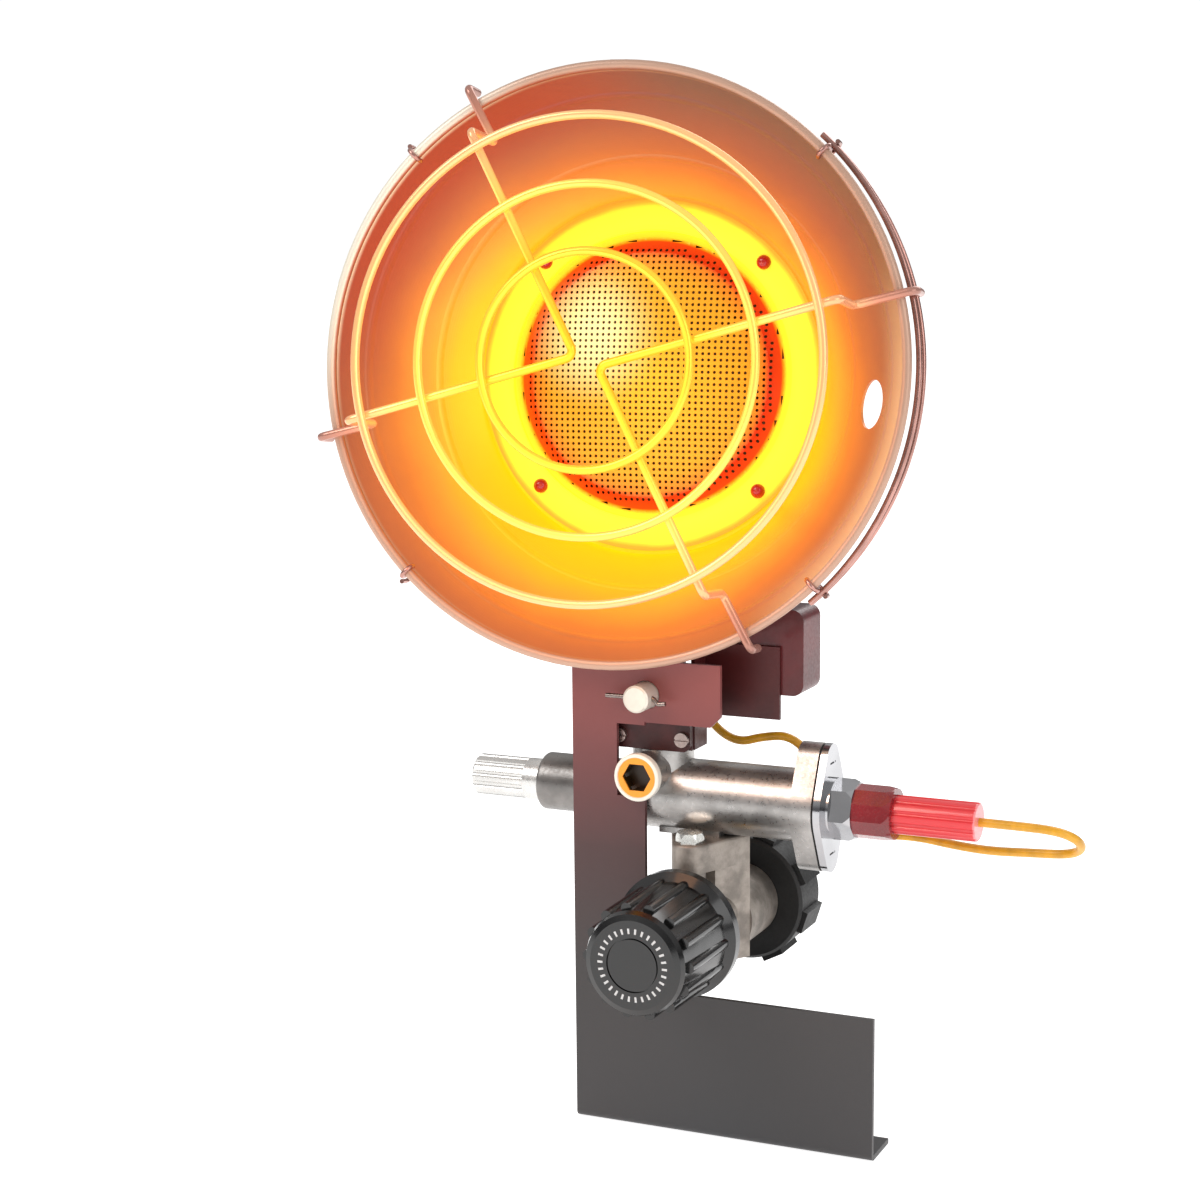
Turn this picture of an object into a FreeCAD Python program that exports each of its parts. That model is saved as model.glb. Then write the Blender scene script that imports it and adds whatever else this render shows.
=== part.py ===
import FreeCAD, Part
import math
import os

# A propane heater that screws onto a gas tank. Millimetres, +Z up, the dish looks towards -Y.
# The origin is the centre of the tank inlet, in the plane of the coupling nut's mouth.

V = FreeCAD.Vector
X_AXIS = V(1, 0, 0)
Y_AXIS = V(0, 1, 0)
Z_AXIS = V(0, 0, 1)

# Clearances
running_gap = 0.06
seat_gap = 0.3
drill_gap = 0.1

# Tank connection
nut_radius = 25.0
nut_length = 21.0
nut_wall = 5.0
nut_thread_radius = 16.7
nut_lugs = 8
nut_lug_width = 9.0
nut_lug_height = 1.8
barrel_radius = 15.0
nipple_shaft_radius = 9.0
nipple_flange_radius = 13.0
nipple_flange_thick = 3.5
nipple_radius = 7.9
nipple_reach = 9.0
nipple_bore = 2.5
nose_chamfer = 2.0
nipple_seal_radius = 11.6
nipple_seal_width = 2.2
nipple_seal_thick = 2.0

# Regulator
regulator_x = -2.5
regulator_y = -49.0
regulator_top = 35.0
cover_thick = 7.5
flange_thick = 3.5
lobe_offset = 20.0
lobe_radius = 6.8
regulator_half_width = 16.5
core_half_length = 13.0
core_bottom = -14.0
chamber_radius = 9.0
chamber_depth = 9.0
cover_chamber_depth = 5.0
diaphragm_radius = 11.0
diaphragm_thick = 0.8
diaphragm_plate_radius = 6.5
diaphragm_plate_thick = 1.0
cover_spring_outer = 5.0
cover_spring_wire = 0.9
cover_spring_turns = 2
bolt_shank_radius = 2.5
bolt_head_radius = 5.5
bolt_head_height = 4.0
bolt_length = 13.0
outlet_pipe_radius = 2.2
outlet_pipe_offset = 13.5
outlet_pipe_length = 14.0

# Control knob
knob_x = -1.2
knob_z = 3.5
knob_front = -125.0
knob_back = -82.0
knob_front_radius = 19.6
knob_skirt_radius = 24.4
knob_skirt_length = 7.0
knob_edge = 3.0
knob_recess_radius = 9.6
knob_recess_depth = 0.8
knob_ribs = 14
knob_rib_width = 4.2
knob_rib_height = 2.4
knob_cavity_depth = 26.0
knob_wall = 3.0
knob_hub_radius = 6.0
stem_radius = 3.0
gland_radius = 9.0
gland_length = 12.0
stem_seal_radius = 4.6
stem_seal_thick = 2.0

# Safety valve
valve_y = -52.5
valve_z = 49.3
valve_radius = 13.9
valve_left = -30.5
flange_left = 37.0
valve_flange_thick = 8.5
oval_half_height = 24.8
oval_lobe_radius = 7.3
oval_waist = 15.0
gasket_thick = 0.8
end_plate_thick = 2.7
chamber_bore = 9.0
stem_bore_end = -15.0
plunger_radius = 2.5
poppet_radius = 8.0
poppet_thick = 2.5
poppet_x = -3.0
magnet_radius = 8.4
magnet_left = 6.5
terminal_radius = 4.5
outlet_nut_radius = 11.7
outlet_nut_length = 10.4
collar_radius = 10.2
collar_length = 14.9
collar_facets = 10
connector_radius = 7.3
connector_length = 31.8
connector_groove = 0.7
connector_flutes = 10
flange_screw_radius = 1.8
flange_screw_head = 3.2

# Hex plug in the valve's front port
plug_x = -21.2
plug_z = 60.0
plug_face = -77.0
plug_flange_radius = 9.2
plug_flange_thick = 3.0
port_radius = 8.0
plug_shank_radius = 5.5
plug_shank_length = 9.0
hex_across = 10.2
hex_depth = 6.0
plug_ring_width = 1.3
plug_ring_thick = 0.4

# Push button
guide_radius = 11.3
guide_left = -70.9
spigot_radius = 9.6
spigot_length = 14.0
button_radius = 8.3
button_left = -100.9
button_flange_radius = 9.5
button_flange_thick = 3.0
guide_lip = 4.0
button_travel = 6.0
button_flutes = 12
flute_depth = 0.9
button_spring_wire = 1.0
button_spring_outer = 6.2
button_spring_turns = 7
plunger_seal_outer = 4.4
plunger_seal_thick = 2.0

# Neck and mixer tube
neck_x = -20.5
neck_boss_radius = 12.0
neck_level = 68.2
tube_radius = 9.5
tube_wall = 1.2
tube_knee_level = 92.0
tube_bend = 20.0
jet_radius = 4.0
jet_hex = 11.0
jet_bore = 0.6

# Head bracket, clamp and stud
bracket_plate_half_width = 16.0
bracket_plate_low = 68.4
bracket_plate_high = 100.0
head_bracket_thick = 2.0
clamp_level = 73.3
clamp_height = 9.0
clamp_thick = 1.6
clamp_screw_offset = 13.0
clamp_screw_radius = 1.6
clamp_screw_head = 2.8
clamp_screw_head_thick = 1.8
stud_z = 90.5
stud_radius = 5.2
stud_front = -79.0
stud_shoulder_radius = 7.0
stud_tail_radius = 3.0
clip_wire_radius = 0.9
clip_y = -74.5
clip_left_reach = 14.0
clip_right_reach = 5.5
clip_kink = 2.0
clip_tail = 3.0

# Support bracket
plate_front = -69.0
plate_left = -51.5
foot_level = -81.5
plate_thick = 2.0
foot_width = 122.8
foot_height = 55.7
strip_width = 30.3
bracket_height = 185.2
tab_width = 61.4
tab_height = 23.8
tab_chamfer = 4.0
notch_left = 18.7
notch_low = 132.0
notch_high = 160.2
lip_depth = 20.0
bend_radius = 2.5

# Tilt switch
case_left = 5.5
case_front = -48.5
case_low = 90.1
case_width = 30.0
case_height = 33.0
case_depth = 16.9
case_wall = 1.6
case_corner = 4.5
lid_thick = 1.6
pivot_height = 22.4
pivot_radius = 1.5
pendulum_arm = 13.0
pendulum_radius = 5.5
pendulum_thick = 8.0
pendulum_hub = 3.5
pendulum_setback = 4.5
contact_width = 1.5
contact_height = 9.0
contact_depth = 3.0
lid_boss_radius = 2.6
lid_screw_radius = 1.0
lid_screw_head = 1.9
lid_screw_length = 8.0
strap_thick = 1.5
strap_height = 40.0
strap_x = -4.0

# Yellow lead, worked as straight runs and tangent arcs
lead_radius = 1.7
lead_bend_share = 0.45
lead_entry = 5.0
lead_points = [
    V(101.1, -52.5, 49.3),
    V(118.0, -52.5, 49.3),
    V(135.1, -52.5, 49.0),
    V(141.9, -47.1, 44.9),
    V(141.9, -39.5, 39.3),
    V(135.2, -34.2, 35.3),
    V(120.5, -33.6, 34.4),
    V(105.5, -34.6, 33.8),
    V(91.0, -34.2, 34.6),
    V(77.0, -32.9, 36.0),
    V(63.5, -32.9, 35.6),
    V(50.5, -31.8, 34.3),
    V(41.0, -30.0, 39.5),
    V(37.0, -29.5, 50.5),
    V(33.0, -30.0, 62.0),
    V(24.0, -31.0, 70.8),
    V(13.0, -32.5, 69.8),
    V(3.0, -34.0, 66.8),
    V(-7.0, -34.5, 72.5),
    V(-12.5, -35.5, 83.0),
    V(-11.0, -36.6, 93.5),
    V(-3.5, -37.8, 100.0),
    V(7.1, -37.8, 100.0),
]

# Head: dish, burner and guard, in the head's own frame (x right, y up, z out of the dish)
head_yaw = 8.67
head_pitch = 6.39
dish_radius = 113.3
rim_low_level = 101.504
head_x = -34.0
head_y = -69.2
head_z = rim_low_level + dish_radius * math.cos(math.radians(head_pitch))
rim_wire_radius = 1.9
dish_depth = 58.1
dish_wall_run = 42.3
dish_floor_radius = dish_radius - dish_wall_run
dish_bulge = 3.0
sheet_thick = 0.9
floor_width = 13.7
burner_opening = dish_floor_radius - floor_width
burner_ring_margin = 1.5
burner_ring_radius = dish_floor_radius - burner_ring_margin
burner_ring_thick = 1.2
screen_flange_margin = 2.0
screen_flange_radius = dish_floor_radius - screen_flange_margin
screen_thick = 0.8
screen_shoulder = 3.3
screen_step_outer = burner_opening - screen_shoulder
screen_step_width = 5.5
screen_step_inner = screen_step_outer - screen_step_width
screen_step_rise = 4.5
screen_crown = 5.0
cup_margin = 2.7
cup_radius = burner_opening + cup_margin
cup_taper = 5.0
cup_back_radius = cup_radius - cup_taper
cup_depth = 28.0
cup_wall = 1.2
tube_entry_depth = 75.0
tube_entry_reach = 10.0
tube_entry_end = cup_radius - tube_entry_reach
tube_foot_rise = 19.3
tube_foot_height = dish_radius - tube_foot_rise
baffle_radius = 38.0
baffle_depth = 12.0
baffle_leg_radius = 2.0
rivet_inset = 7.7
rivet_circle = dish_floor_radius - rivet_inset
rivet_radius = 1.6
rivet_head_radius = 2.9
rivet_tail = 1.2
rivets = 4
match_hole_radius = 9.3
match_hole_angle = -6.8
match_hole_axial = 29.0
match_hole_inset = 18.8
match_hole_out = dish_radius - match_hole_inset

# Guard
guard_wire = 1.6
guard_lift = 33.9
guard_large_inset = 25.9
guard_outer_gap = 24.3
guard_inner_gap = 24.0
guard_large = dish_radius - guard_large_inset
guard_middle = guard_large - guard_outer_gap
guard_small = guard_middle - guard_inner_gap
arm_inset = 18.8
arm_reach = dish_radius - arm_inset
rim_crossing = 3.6
hook_overhang = 4.7
hook_reach = dish_radius + hook_overhang
hook_back = 7.5
vee_middle = 156.5
vee_spread = 75.0
vee_apex = 4.5
arm_bend = 3.0
side_wire_gap = 1.9
side_wire_radius = dish_radius + side_wire_gap
side_wire = 1.15
side_wire_span = 48.0
side_wire_front = 4.5
side_wire_rear = 7.4
side_wire_bow = 15.0
rim_clips_count = 4
rim_clip_wire = 0.9
rim_clip_gap = 0.03
rim_clip_lean = 1.037
rim_clip_slack = 0.15


# Shape helpers

def rod(radius, start, end):
    """Round bar between two points."""
    along = end.sub(start)
    return Part.makeCylinder(radius, along.Length, start, along)


def pipe_bar(outer, inner, start, end):
    """Round tube between two points."""
    return rod(outer, start, end).cut(rod(inner, start, end))


def block(low, high):
    """Box between two opposite corners."""
    return Part.makeBox(high.x - low.x, high.y - low.y, high.z - low.z, low)


def fuse(shapes):
    """One solid from overlapping or face-to-face shapes."""
    whole = shapes[0].multiFuse(shapes[1:])
    return whole.removeSplitter()


def prism(points, direction):
    """Straight-sided solid on a closed outline."""
    wire = Part.makePolygon(points + [points[0]])
    return Part.Face(wire).extrude(direction)


def polygon_bar(radius, sides, start, end, turn=0.0):
    """Bar along X or Z with a regular outline; radius is to the corners."""
    along = end.sub(start)
    if abs(along.x) > abs(along.z):
        first, second = Y_AXIS, Z_AXIS
    else:
        first, second = X_AXIS, Y_AXIS
    corners = []
    for i in range(sides):
        angle = math.radians(turn + 360.0 * i / sides)
        out = V(first).multiply(radius * math.cos(angle)).add(V(second).multiply(radius * math.sin(angle)))
        corners.append(start.add(out))
    return prism(corners, along)


def corner_arc(corner, back, ahead, setback):
    """Arc that touches both runs of a corner, setback away from it."""
    half_turn = (math.pi - back.getAngle(ahead)) / 2.0
    radius = setback / math.tan(half_turn)
    bisector = back.add(ahead).normalize()
    start = corner.add(V(back).multiply(setback))
    middle = corner.add(V(bisector).multiply(radius / math.cos(half_turn) - radius))
    end = corner.add(V(ahead).multiply(setback))
    return Part.Arc(start, middle, end).toShape()


def rounded_route(points, radii):
    """Straight runs joined by tangent arcs; radii holds one value per inner point."""
    edges = []
    here = points[0]
    for i in range(1, len(points) - 1):
        back = points[i - 1].sub(points[i]).normalize()
        ahead = points[i + 1].sub(points[i]).normalize()
        setback = radii[i - 1] * math.tan((math.pi - back.getAngle(ahead)) / 2.0)
        edges.append(Part.LineSegment(here, points[i].add(V(back).multiply(setback))).toShape())
        edges.append(corner_arc(points[i], back, ahead, setback))
        here = points[i].add(V(ahead).multiply(setback))
    edges.append(Part.LineSegment(here, points[-1]).toShape())
    return Part.Wire(edges)


def sweep(route, radius):
    """Round wire along a route."""
    start = route.Edges[0].valueAt(route.Edges[0].FirstParameter)
    heading = route.Edges[0].tangentAt(route.Edges[0].FirstParameter)
    circle = Part.Wire(Part.makeCircle(radius, start, heading))
    return route.makePipeShell([circle], True, False)


def bent_wire(points, bend, radius):
    """Wire of one thickness with the same bend at each inner point."""
    return sweep(rounded_route(points, [bend] * (len(points) - 2)), radius)


def spun(points):
    """Solid of revolution about Z from (radius, height) pairs."""
    outline = [V(r, 0, z) for r, z in points]
    face = Part.Face(Part.makePolygon(outline + [outline[0]]))
    return face.revolve(V(0, 0, 0), Z_AXIS, 360)


def helix_point(radius, pitch, angle):
    return V(radius * math.cos(angle), radius * math.sin(angle), pitch * angle / (2.0 * math.pi))


def helix_heading(radius, pitch, angle):
    return V(-radius * math.sin(angle), radius * math.cos(angle), pitch / (2.0 * math.pi)).normalize()


def quarter_turn(radius, pitch, angle):
    """Two arcs that follow a quarter turn of a helix and meet its heading at both ends."""
    start = helix_point(radius, pitch, angle)
    end = helix_point(radius, pitch, angle + math.pi / 2.0)
    first = helix_heading(radius, pitch, angle)
    last = helix_heading(radius, pitch, angle + math.pi / 2.0)
    across = end.sub(start)
    both = across.dot(first.add(last))
    turn = 2.0 * (1.0 - first.dot(last))
    reach = (math.sqrt(both ** 2 + turn * across.dot(across)) - both) / turn
    corner = start.add(V(first).multiply(reach))
    next_corner = end.sub(V(last).multiply(reach))
    link = next_corner.sub(corner).normalize()
    back_link = V(link).multiply(-1)
    return [
        corner_arc(corner, V(first).multiply(-1), link, reach),
        corner_arc(next_corner, back_link, last, reach),
    ]


def coil(radius, wire, pitch, turns, base, direction):
    """Round-wire spring whose axis runs from base along direction."""
    edges = []
    for i in range(4 * turns):
        edges += quarter_turn(radius, pitch, math.pi / 2.0 * i)
    spring = sweep(Part.Wire(edges), wire)
    spring.Placement = FreeCAD.Placement(base, FreeCAD.Rotation(Z_AXIS, direction))
    return spring


def head_placement():
    """Where the head's own frame stands on the heater."""
    yaw = math.radians(head_yaw)
    pitch = math.radians(head_pitch)
    right = V(math.cos(yaw), math.sin(yaw), 0)
    out = V(math.sin(yaw) * math.cos(pitch), -math.cos(yaw) * math.cos(pitch), math.sin(pitch))
    up = out.cross(right)
    turn = FreeCAD.Rotation(right, up, out, "ZXY")
    return FreeCAD.Placement(V(head_x, head_y, head_z), turn)


def on_head(shape):
    """Moves a shape from the head's frame onto the heater."""
    placed = shape.copy()
    placed.Placement = head_placement().multiply(placed.Placement)
    return placed


def head_point(x, y, z):
    """A point of the head's frame, on the heater."""
    return head_placement().multVec(V(x, y, z))


# Tank connection

def coupling_nut():
    body = rod(nut_radius, V(0, -nut_length, 0), V(0, 0, 0))
    body = body.makeChamfer(1.2, [e for e in body.Edges if e.Closed])
    lugs = []
    for i in range(nut_lugs):
        lug = block(V(nut_radius - 3.0, -nut_length + 2.0, -nut_lug_width / 2.0),
                    V(nut_radius + nut_lug_height, -2.0, nut_lug_width / 2.0))
        lug.rotate(V(0, 0, 0), Y_AXIS, 360.0 * (i + 0.4) / nut_lugs)
        lugs.append(lug)
    body = fuse([body] + lugs)
    thread = rod(nut_thread_radius, V(0, -nut_length + nut_wall, 0), V(0, 1, 0))
    neck = rod(nipple_shaft_radius + running_gap, V(0, -nut_length - 1, 0), V(0, 0, 0))
    return body.cut(thread).cut(neck)


def inlet_nipple():
    shaft_start = V(0, -nut_length - 10.0, 0)
    flange_back = -nut_length + nut_wall + seat_gap
    shaft = rod(nipple_shaft_radius, shaft_start, V(0, flange_back, 0))
    flange = rod(nipple_flange_radius, V(0, flange_back, 0), V(0, flange_back + nipple_flange_thick, 0))
    nose = rod(nipple_radius, V(0, flange_back + nipple_flange_thick, 0), V(0, nipple_reach, 0))
    tip = Part.makeCone(nipple_radius, nipple_radius - nose_chamfer, nose_chamfer, V(0, nipple_reach, 0), Y_AXIS)
    bore = rod(nipple_bore, V(0, -60, 0), V(0, 60, 0))
    return fuse([shaft, flange, nose, tip]).cut(bore).cut(nipple_seal())


def nipple_seal():
    """Face seal, level with the flange that it lies in."""
    face = -nut_length + nut_wall + seat_gap + nipple_flange_thick
    inner = nipple_seal_radius - nipple_seal_width
    return pipe_bar(nipple_seal_radius, inner, V(0, face - nipple_seal_thick, 0), V(0, face, 0))


# Regulator

def regulator_outline(half_width, radius, z):
    """Wire round two lobes and two side corners, at one height."""
    reach = math.hypot(half_width, lobe_offset)
    turn = math.atan2(lobe_offset, half_width) - math.acos(radius / reach)
    across = radius * math.cos(turn)
    along = lobe_offset - radius * math.sin(turn)

    def at(x, y):
        return V(regulator_x + x, regulator_y + y, z)

    edges = [
        Part.LineSegment(at(half_width, 0), at(across, along)).toShape(),
        Part.Arc(at(across, along), at(0, lobe_offset + radius), at(-across, along)).toShape(),
        Part.LineSegment(at(-across, along), at(-half_width, 0)).toShape(),
        Part.LineSegment(at(-half_width, 0), at(-across, -along)).toShape(),
        Part.Arc(at(-across, -along), at(0, -lobe_offset - radius), at(across, -along)).toShape(),
        Part.LineSegment(at(across, -along), at(half_width, 0)).toShape(),
    ]
    return Part.Wire(edges)


def seam_level():
    return regulator_top - cover_thick


def flange_slab(low, high):
    face = Part.Face(regulator_outline(regulator_half_width, lobe_radius, low))
    return face.extrude(V(0, 0, high - low))


def cover_bolt_places():
    return [V(regulator_x, regulator_y + side * lobe_offset, regulator_top) for side in (-1, 1)]


def bolt_holes():
    holes = []
    for place in cover_bolt_places():
        holes.append(rod(bolt_shank_radius + drill_gap, place.add(V(0, 0, 1)), place.sub(V(0, 0, bolt_length))))
    return holes


def outlet_pipe_place(z):
    return V(regulator_x - outlet_pipe_offset, regulator_y, z)


def regulator_cover():
    slab = flange_slab(seam_level(), regulator_top)
    slab = slab.makeFillet(1.0, [e for e in slab.Edges if e.BoundBox.ZMin > regulator_top - 0.01])
    centre = V(regulator_x, regulator_y, seam_level())
    chamber = rod(chamber_radius, centre.sub(V(0, 0, 1)), centre.add(V(0, 0, cover_chamber_depth)))
    pipe_hole = rod(outlet_pipe_radius, outlet_pipe_place(0), outlet_pipe_place(60))
    cover = slab.cut(chamber).cut(pipe_hole)
    for hole in bolt_holes():
        cover = cover.cut(hole)
    return cover


def regulator_body():
    low = seam_level() - flange_thick
    flange = flange_slab(low, seam_level())
    core_points = []
    for x, y in ((1.0, 0.0), (0.45, 1.0), (-0.45, 1.0), (-1.0, 0.0), (-0.45, -1.0), (0.45, -1.0)):
        core_points.append(V(regulator_x + x * regulator_half_width, regulator_y + y * core_half_length, core_bottom))
    core = prism(core_points, V(0, 0, seam_level() - core_bottom - 0.5))
    barrel = rod(barrel_radius, V(0, regulator_y, 0), V(0, -nut_length - seat_gap, 0))
    front = rod(gland_radius + 3.0, V(knob_x, regulator_y, knob_z), V(knob_x, gland_seat(), knob_z))
    lobes = []
    for place in cover_bolt_places():
        lobes.append(rod(lobe_radius - 0.8, V(place.x, place.y, low - 6.0), V(place.x, place.y, low + 1.0)))
    body = fuse([flange, core, barrel, front] + lobes[:1])
    centre = V(regulator_x, regulator_y, seam_level())
    cuts = [
        rod(chamber_radius, centre.sub(V(0, 0, chamber_depth)), centre.add(V(0, 0, 1))),
        rod(diaphragm_radius, centre.sub(V(0, 0, diaphragm_thick)), centre.add(V(0, 0, 1))),
        rod(nipple_shaft_radius, V(0, -nut_length - 10.0, 0), V(0, 0, 0)),
        rod(nipple_bore, V(0, regulator_y, 0), V(0, 0, 0)),
        rod(stem_radius + running_gap, V(knob_x, regulator_y - 1.0, knob_z), V(knob_x, -200, knob_z)),
        rod(gland_radius - 3.0, V(knob_x, gland_seat() + 8.0, knob_z), V(knob_x, -200, knob_z)),
        rod(1.5, V(regulator_x, regulator_y, knob_z), centre),
        rod(outlet_pipe_radius, outlet_pipe_place(low + 1.0), outlet_pipe_place(60)),
    ]
    for shape in cuts + bolt_holes():
        body = body.cut(shape)
    return body


def gland_seat():
    """Y of the body's front boss face."""
    return regulator_y - core_half_length - 5.0


def diaphragm():
    top = seam_level()
    return rod(diaphragm_radius, V(regulator_x, regulator_y, top - diaphragm_thick), V(regulator_x, regulator_y, top))


def diaphragm_plate():
    low = seam_level()
    return rod(diaphragm_plate_radius, V(regulator_x, regulator_y, low),
               V(regulator_x, regulator_y, low + diaphragm_plate_thick))


def diaphragm_spring():
    low = seam_level() + diaphragm_plate_thick + cover_spring_wire / 2.0
    height = cover_chamber_depth - diaphragm_plate_thick - cover_spring_wire - 0.1
    return coil(cover_spring_outer - cover_spring_wire / 2.0, cover_spring_wire / 2.0, height / cover_spring_turns,
                cover_spring_turns, V(regulator_x, regulator_y, low), Z_AXIS)


def cover_bolts():
    bolts = []
    for place in cover_bolt_places():
        head = polygon_bar(bolt_head_radius, 6, place, place.add(V(0, 0, bolt_head_height)), 15.0)
        dome = Part.makeCone(bolt_head_radius + 0.6, bolt_head_radius - 0.6, bolt_head_height, place)
        shank = rod(bolt_shank_radius, place.sub(V(0, 0, bolt_length - 1.0)), place)
        bolts.append(fuse([head.common(dome), shank]))
    return Part.makeCompound(bolts)


def outlet_pipe():
    low = outlet_pipe_place(regulator_top - outlet_pipe_length / 2.0)
    high = outlet_pipe_place(regulator_top + outlet_pipe_length / 2.0)
    return pipe_bar(outlet_pipe_radius, outlet_pipe_radius - 1.0, low, high)


# Control knob and its stem

def knob_end_radius():
    """Radius of the knob's body where the skirt begins."""
    return knob_front_radius + 1.8


def control_knob():
    length = knob_back - knob_front
    skirt_start = length - knob_skirt_length
    outline = [
        (0, 0), (knob_front_radius - knob_edge, 0), (knob_front_radius - knob_edge * 0.3, knob_edge * 0.3),
        (knob_front_radius, knob_edge), (knob_end_radius(), skirt_start), (knob_skirt_radius, skirt_start + 3.0),
        (knob_skirt_radius, length), (knob_skirt_radius - knob_wall, length),
        (knob_end_radius() - knob_wall - 1.0, skirt_start), (knob_end_radius() - knob_wall - 1.0, length - knob_cavity_depth),
        (0, length - knob_cavity_depth),
    ]
    shell = spun(outline)
    ribs = []
    for i in range(knob_ribs):
        rib = Part.makeCone(knob_rib_width / 2.0, knob_rib_width / 2.0 + 0.4, skirt_start - 4.0,
                            V(knob_front_radius + knob_rib_height - knob_rib_width / 2.0, 0, 5.0), Z_AXIS)
        rib.rotate(V(0, 0, 0), Z_AXIS, 360.0 * i / knob_ribs)
        ribs.append(rib)
    hub = rod(knob_hub_radius, V(0, 0, length - knob_cavity_depth - 1.0), V(0, 0, length - 4.0))
    knob = fuse([shell, hub] + ribs)
    recess = pipe_bar(knob_recess_radius + 0.6, knob_recess_radius, V(0, 0, -1), V(0, 0, knob_recess_depth))
    stem_hole = rod(stem_radius, V(0, 0, length - knob_cavity_depth + 2.0), V(0, 0, length + 1.0))
    knob = knob.cut(recess).cut(stem_hole)
    knob.Placement = FreeCAD.Placement(V(knob_x, knob_front, knob_z), FreeCAD.Rotation(Z_AXIS, Y_AXIS))
    return knob


def control_stem():
    front = knob_back - knob_cavity_depth + 2.0
    back = regulator_y - 2.0
    return rod(stem_radius, V(knob_x, front, knob_z), V(knob_x, back, knob_z))


def stem_gland():
    seat = gland_seat()
    inside = rod(gland_radius - 3.0, V(knob_x, seat, knob_z), V(knob_x, seat + 8.0 - stem_seal_thick, knob_z))
    head = rod(gland_radius, V(knob_x, seat - gland_length + 4.0, knob_z), V(knob_x, seat, knob_z))
    bore = rod(stem_radius + running_gap, V(knob_x, -200, knob_z), V(knob_x, 0, knob_z))
    return fuse([inside, head]).cut(bore)


def stem_seal():
    back = gland_seat() + 8.0
    return pipe_bar(stem_seal_radius, stem_radius + running_gap, V(knob_x, back - stem_seal_thick, knob_z),
                    V(knob_x, back, knob_z))


# Safety valve

def valve_point(x):
    return V(x, valve_y, valve_z)


def flange_right():
    return flange_left + valve_flange_thick


def gasket_right():
    return flange_right() + gasket_thick


def end_plate_right():
    return gasket_right() + end_plate_thick


def oval_slab(left, right, trim=0.0):
    """Oval plate square to X: a waist circle and two lobes, above and below."""
    lobe_centre = oval_half_height - oval_lobe_radius
    width = right - left
    waist = rod(oval_waist - trim, valve_point(left), valve_point(right))
    reach = lobe_centre
    turn = math.acos((oval_waist - oval_lobe_radius) / reach)
    corners = []
    for side in (1, -1):
        y = math.sin(turn)
        z = math.cos(turn)
        corners.append(V(left, valve_y + side * (oval_waist - trim) * y, valve_z + side * (oval_waist - trim) * z))
        corners.append(V(left, valve_y + side * (oval_lobe_radius - trim) * y,
                         valve_z + side * (lobe_centre + (oval_lobe_radius - trim) * z)))
        corners.append(V(left, valve_y - side * (oval_lobe_radius - trim) * y,
                         valve_z + side * (lobe_centre + (oval_lobe_radius - trim) * z)))
        corners.append(V(left, valve_y - side * (oval_waist - trim) * y, valve_z + side * (oval_waist - trim) * z))
    ordered = corners[:4] + corners[4:]
    web = prism(ordered, V(width, 0, 0))
    lobes = []
    for side in (1, -1):
        centre = V(left, valve_y, valve_z + side * lobe_centre)
        lobes.append(rod(oval_lobe_radius - trim, centre, centre.add(V(width, 0, 0))))
    return fuse([waist, web] + lobes)


def flange_screw_places(x):
    offset = oval_half_height - oval_lobe_radius
    return [V(x, valve_y, valve_z + side * offset) for side in (1, -1)]


def valve_body():
    barrel = rod(valve_radius, valve_point(valve_left), valve_point(flange_left + 1.0))
    barrel = barrel.makeFillet(3.0, [e for e in barrel.Edges if e.BoundBox.XMax < valve_left + 0.01])
    spigot = rod(spigot_radius, valve_point(valve_left - spigot_length), valve_point(valve_left + 5.0))
    neck = rod(neck_boss_radius, V(neck_x, valve_y, valve_z), V(neck_x, valve_y, neck_level))
    tube_spigot = rod(tube_radius - tube_wall, V(neck_x, valve_y, valve_z), V(neck_x, valve_y, neck_level + 3.0))
    port = rod(port_radius, V(plug_x, valve_y, plug_z), V(plug_x, plug_face + plug_flange_thick, plug_z))
    pad = block(V(regulator_x - 17.0, valve_y - 7.0, regulator_top), V(regulator_x + 8.0, valve_y + 9.0, valve_z))
    body = fuse([barrel, spigot, neck, tube_spigot, port, pad, oval_slab(flange_left, flange_right())])
    cuts = [
        pipe_bar(guide_radius + seat_gap, spigot_radius, valve_point(guide_left), valve_point(valve_left)),
        rod(chamber_bore, valve_point(stem_bore_end), valve_point(200)),
        rod(plunger_radius + running_gap, valve_point(-100), valve_point(0)),
        rod(plunger_seal_outer, valve_point(valve_left - spigot_length + 2.0),
            valve_point(valve_left - spigot_length + 2.0 + plunger_seal_thick)),
        rod(plug_shank_radius, V(plug_x, plug_face + plug_flange_thick + plug_shank_length, plug_z),
            V(plug_x, -200, plug_z)),
        rod(jet_radius, V(neck_x, valve_y, neck_level - 6.0), V(neck_x, valve_y, neck_level + 10.0)),
        rod(1.5, V(neck_x, valve_y, valve_z + chamber_bore), V(neck_x, valve_y, neck_level)),
        rod(outlet_pipe_radius, outlet_pipe_place(0), outlet_pipe_place(regulator_top + outlet_pipe_length / 2.0)),
    ]
    for place in flange_screw_places(flange_left):
        cuts.append(rod(flange_screw_radius, place.add(V(2.0, 0, 0)), place.add(V(40, 0, 0))))
    for shape in cuts:
        body = body.cut(shape)
    return body


def flange_gasket():
    slab = oval_slab(flange_right(), gasket_right(), 0.3)
    slab = slab.cut(rod(magnet_radius, valve_point(0), valve_point(60)))
    for place in flange_screw_places(0):
        slab = slab.cut(rod(flange_screw_radius + drill_gap, place, place.add(V(100, 0, 0))))
    return slab


def end_plate():
    slab = oval_slab(gasket_right(), end_plate_right())
    slab = slab.cut(rod(terminal_radius, valve_point(0), valve_point(60)))
    for screw in (flange_screw(place) for place in flange_screw_places(0)):
        slab = slab.cut(screw)
    return slab


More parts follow.
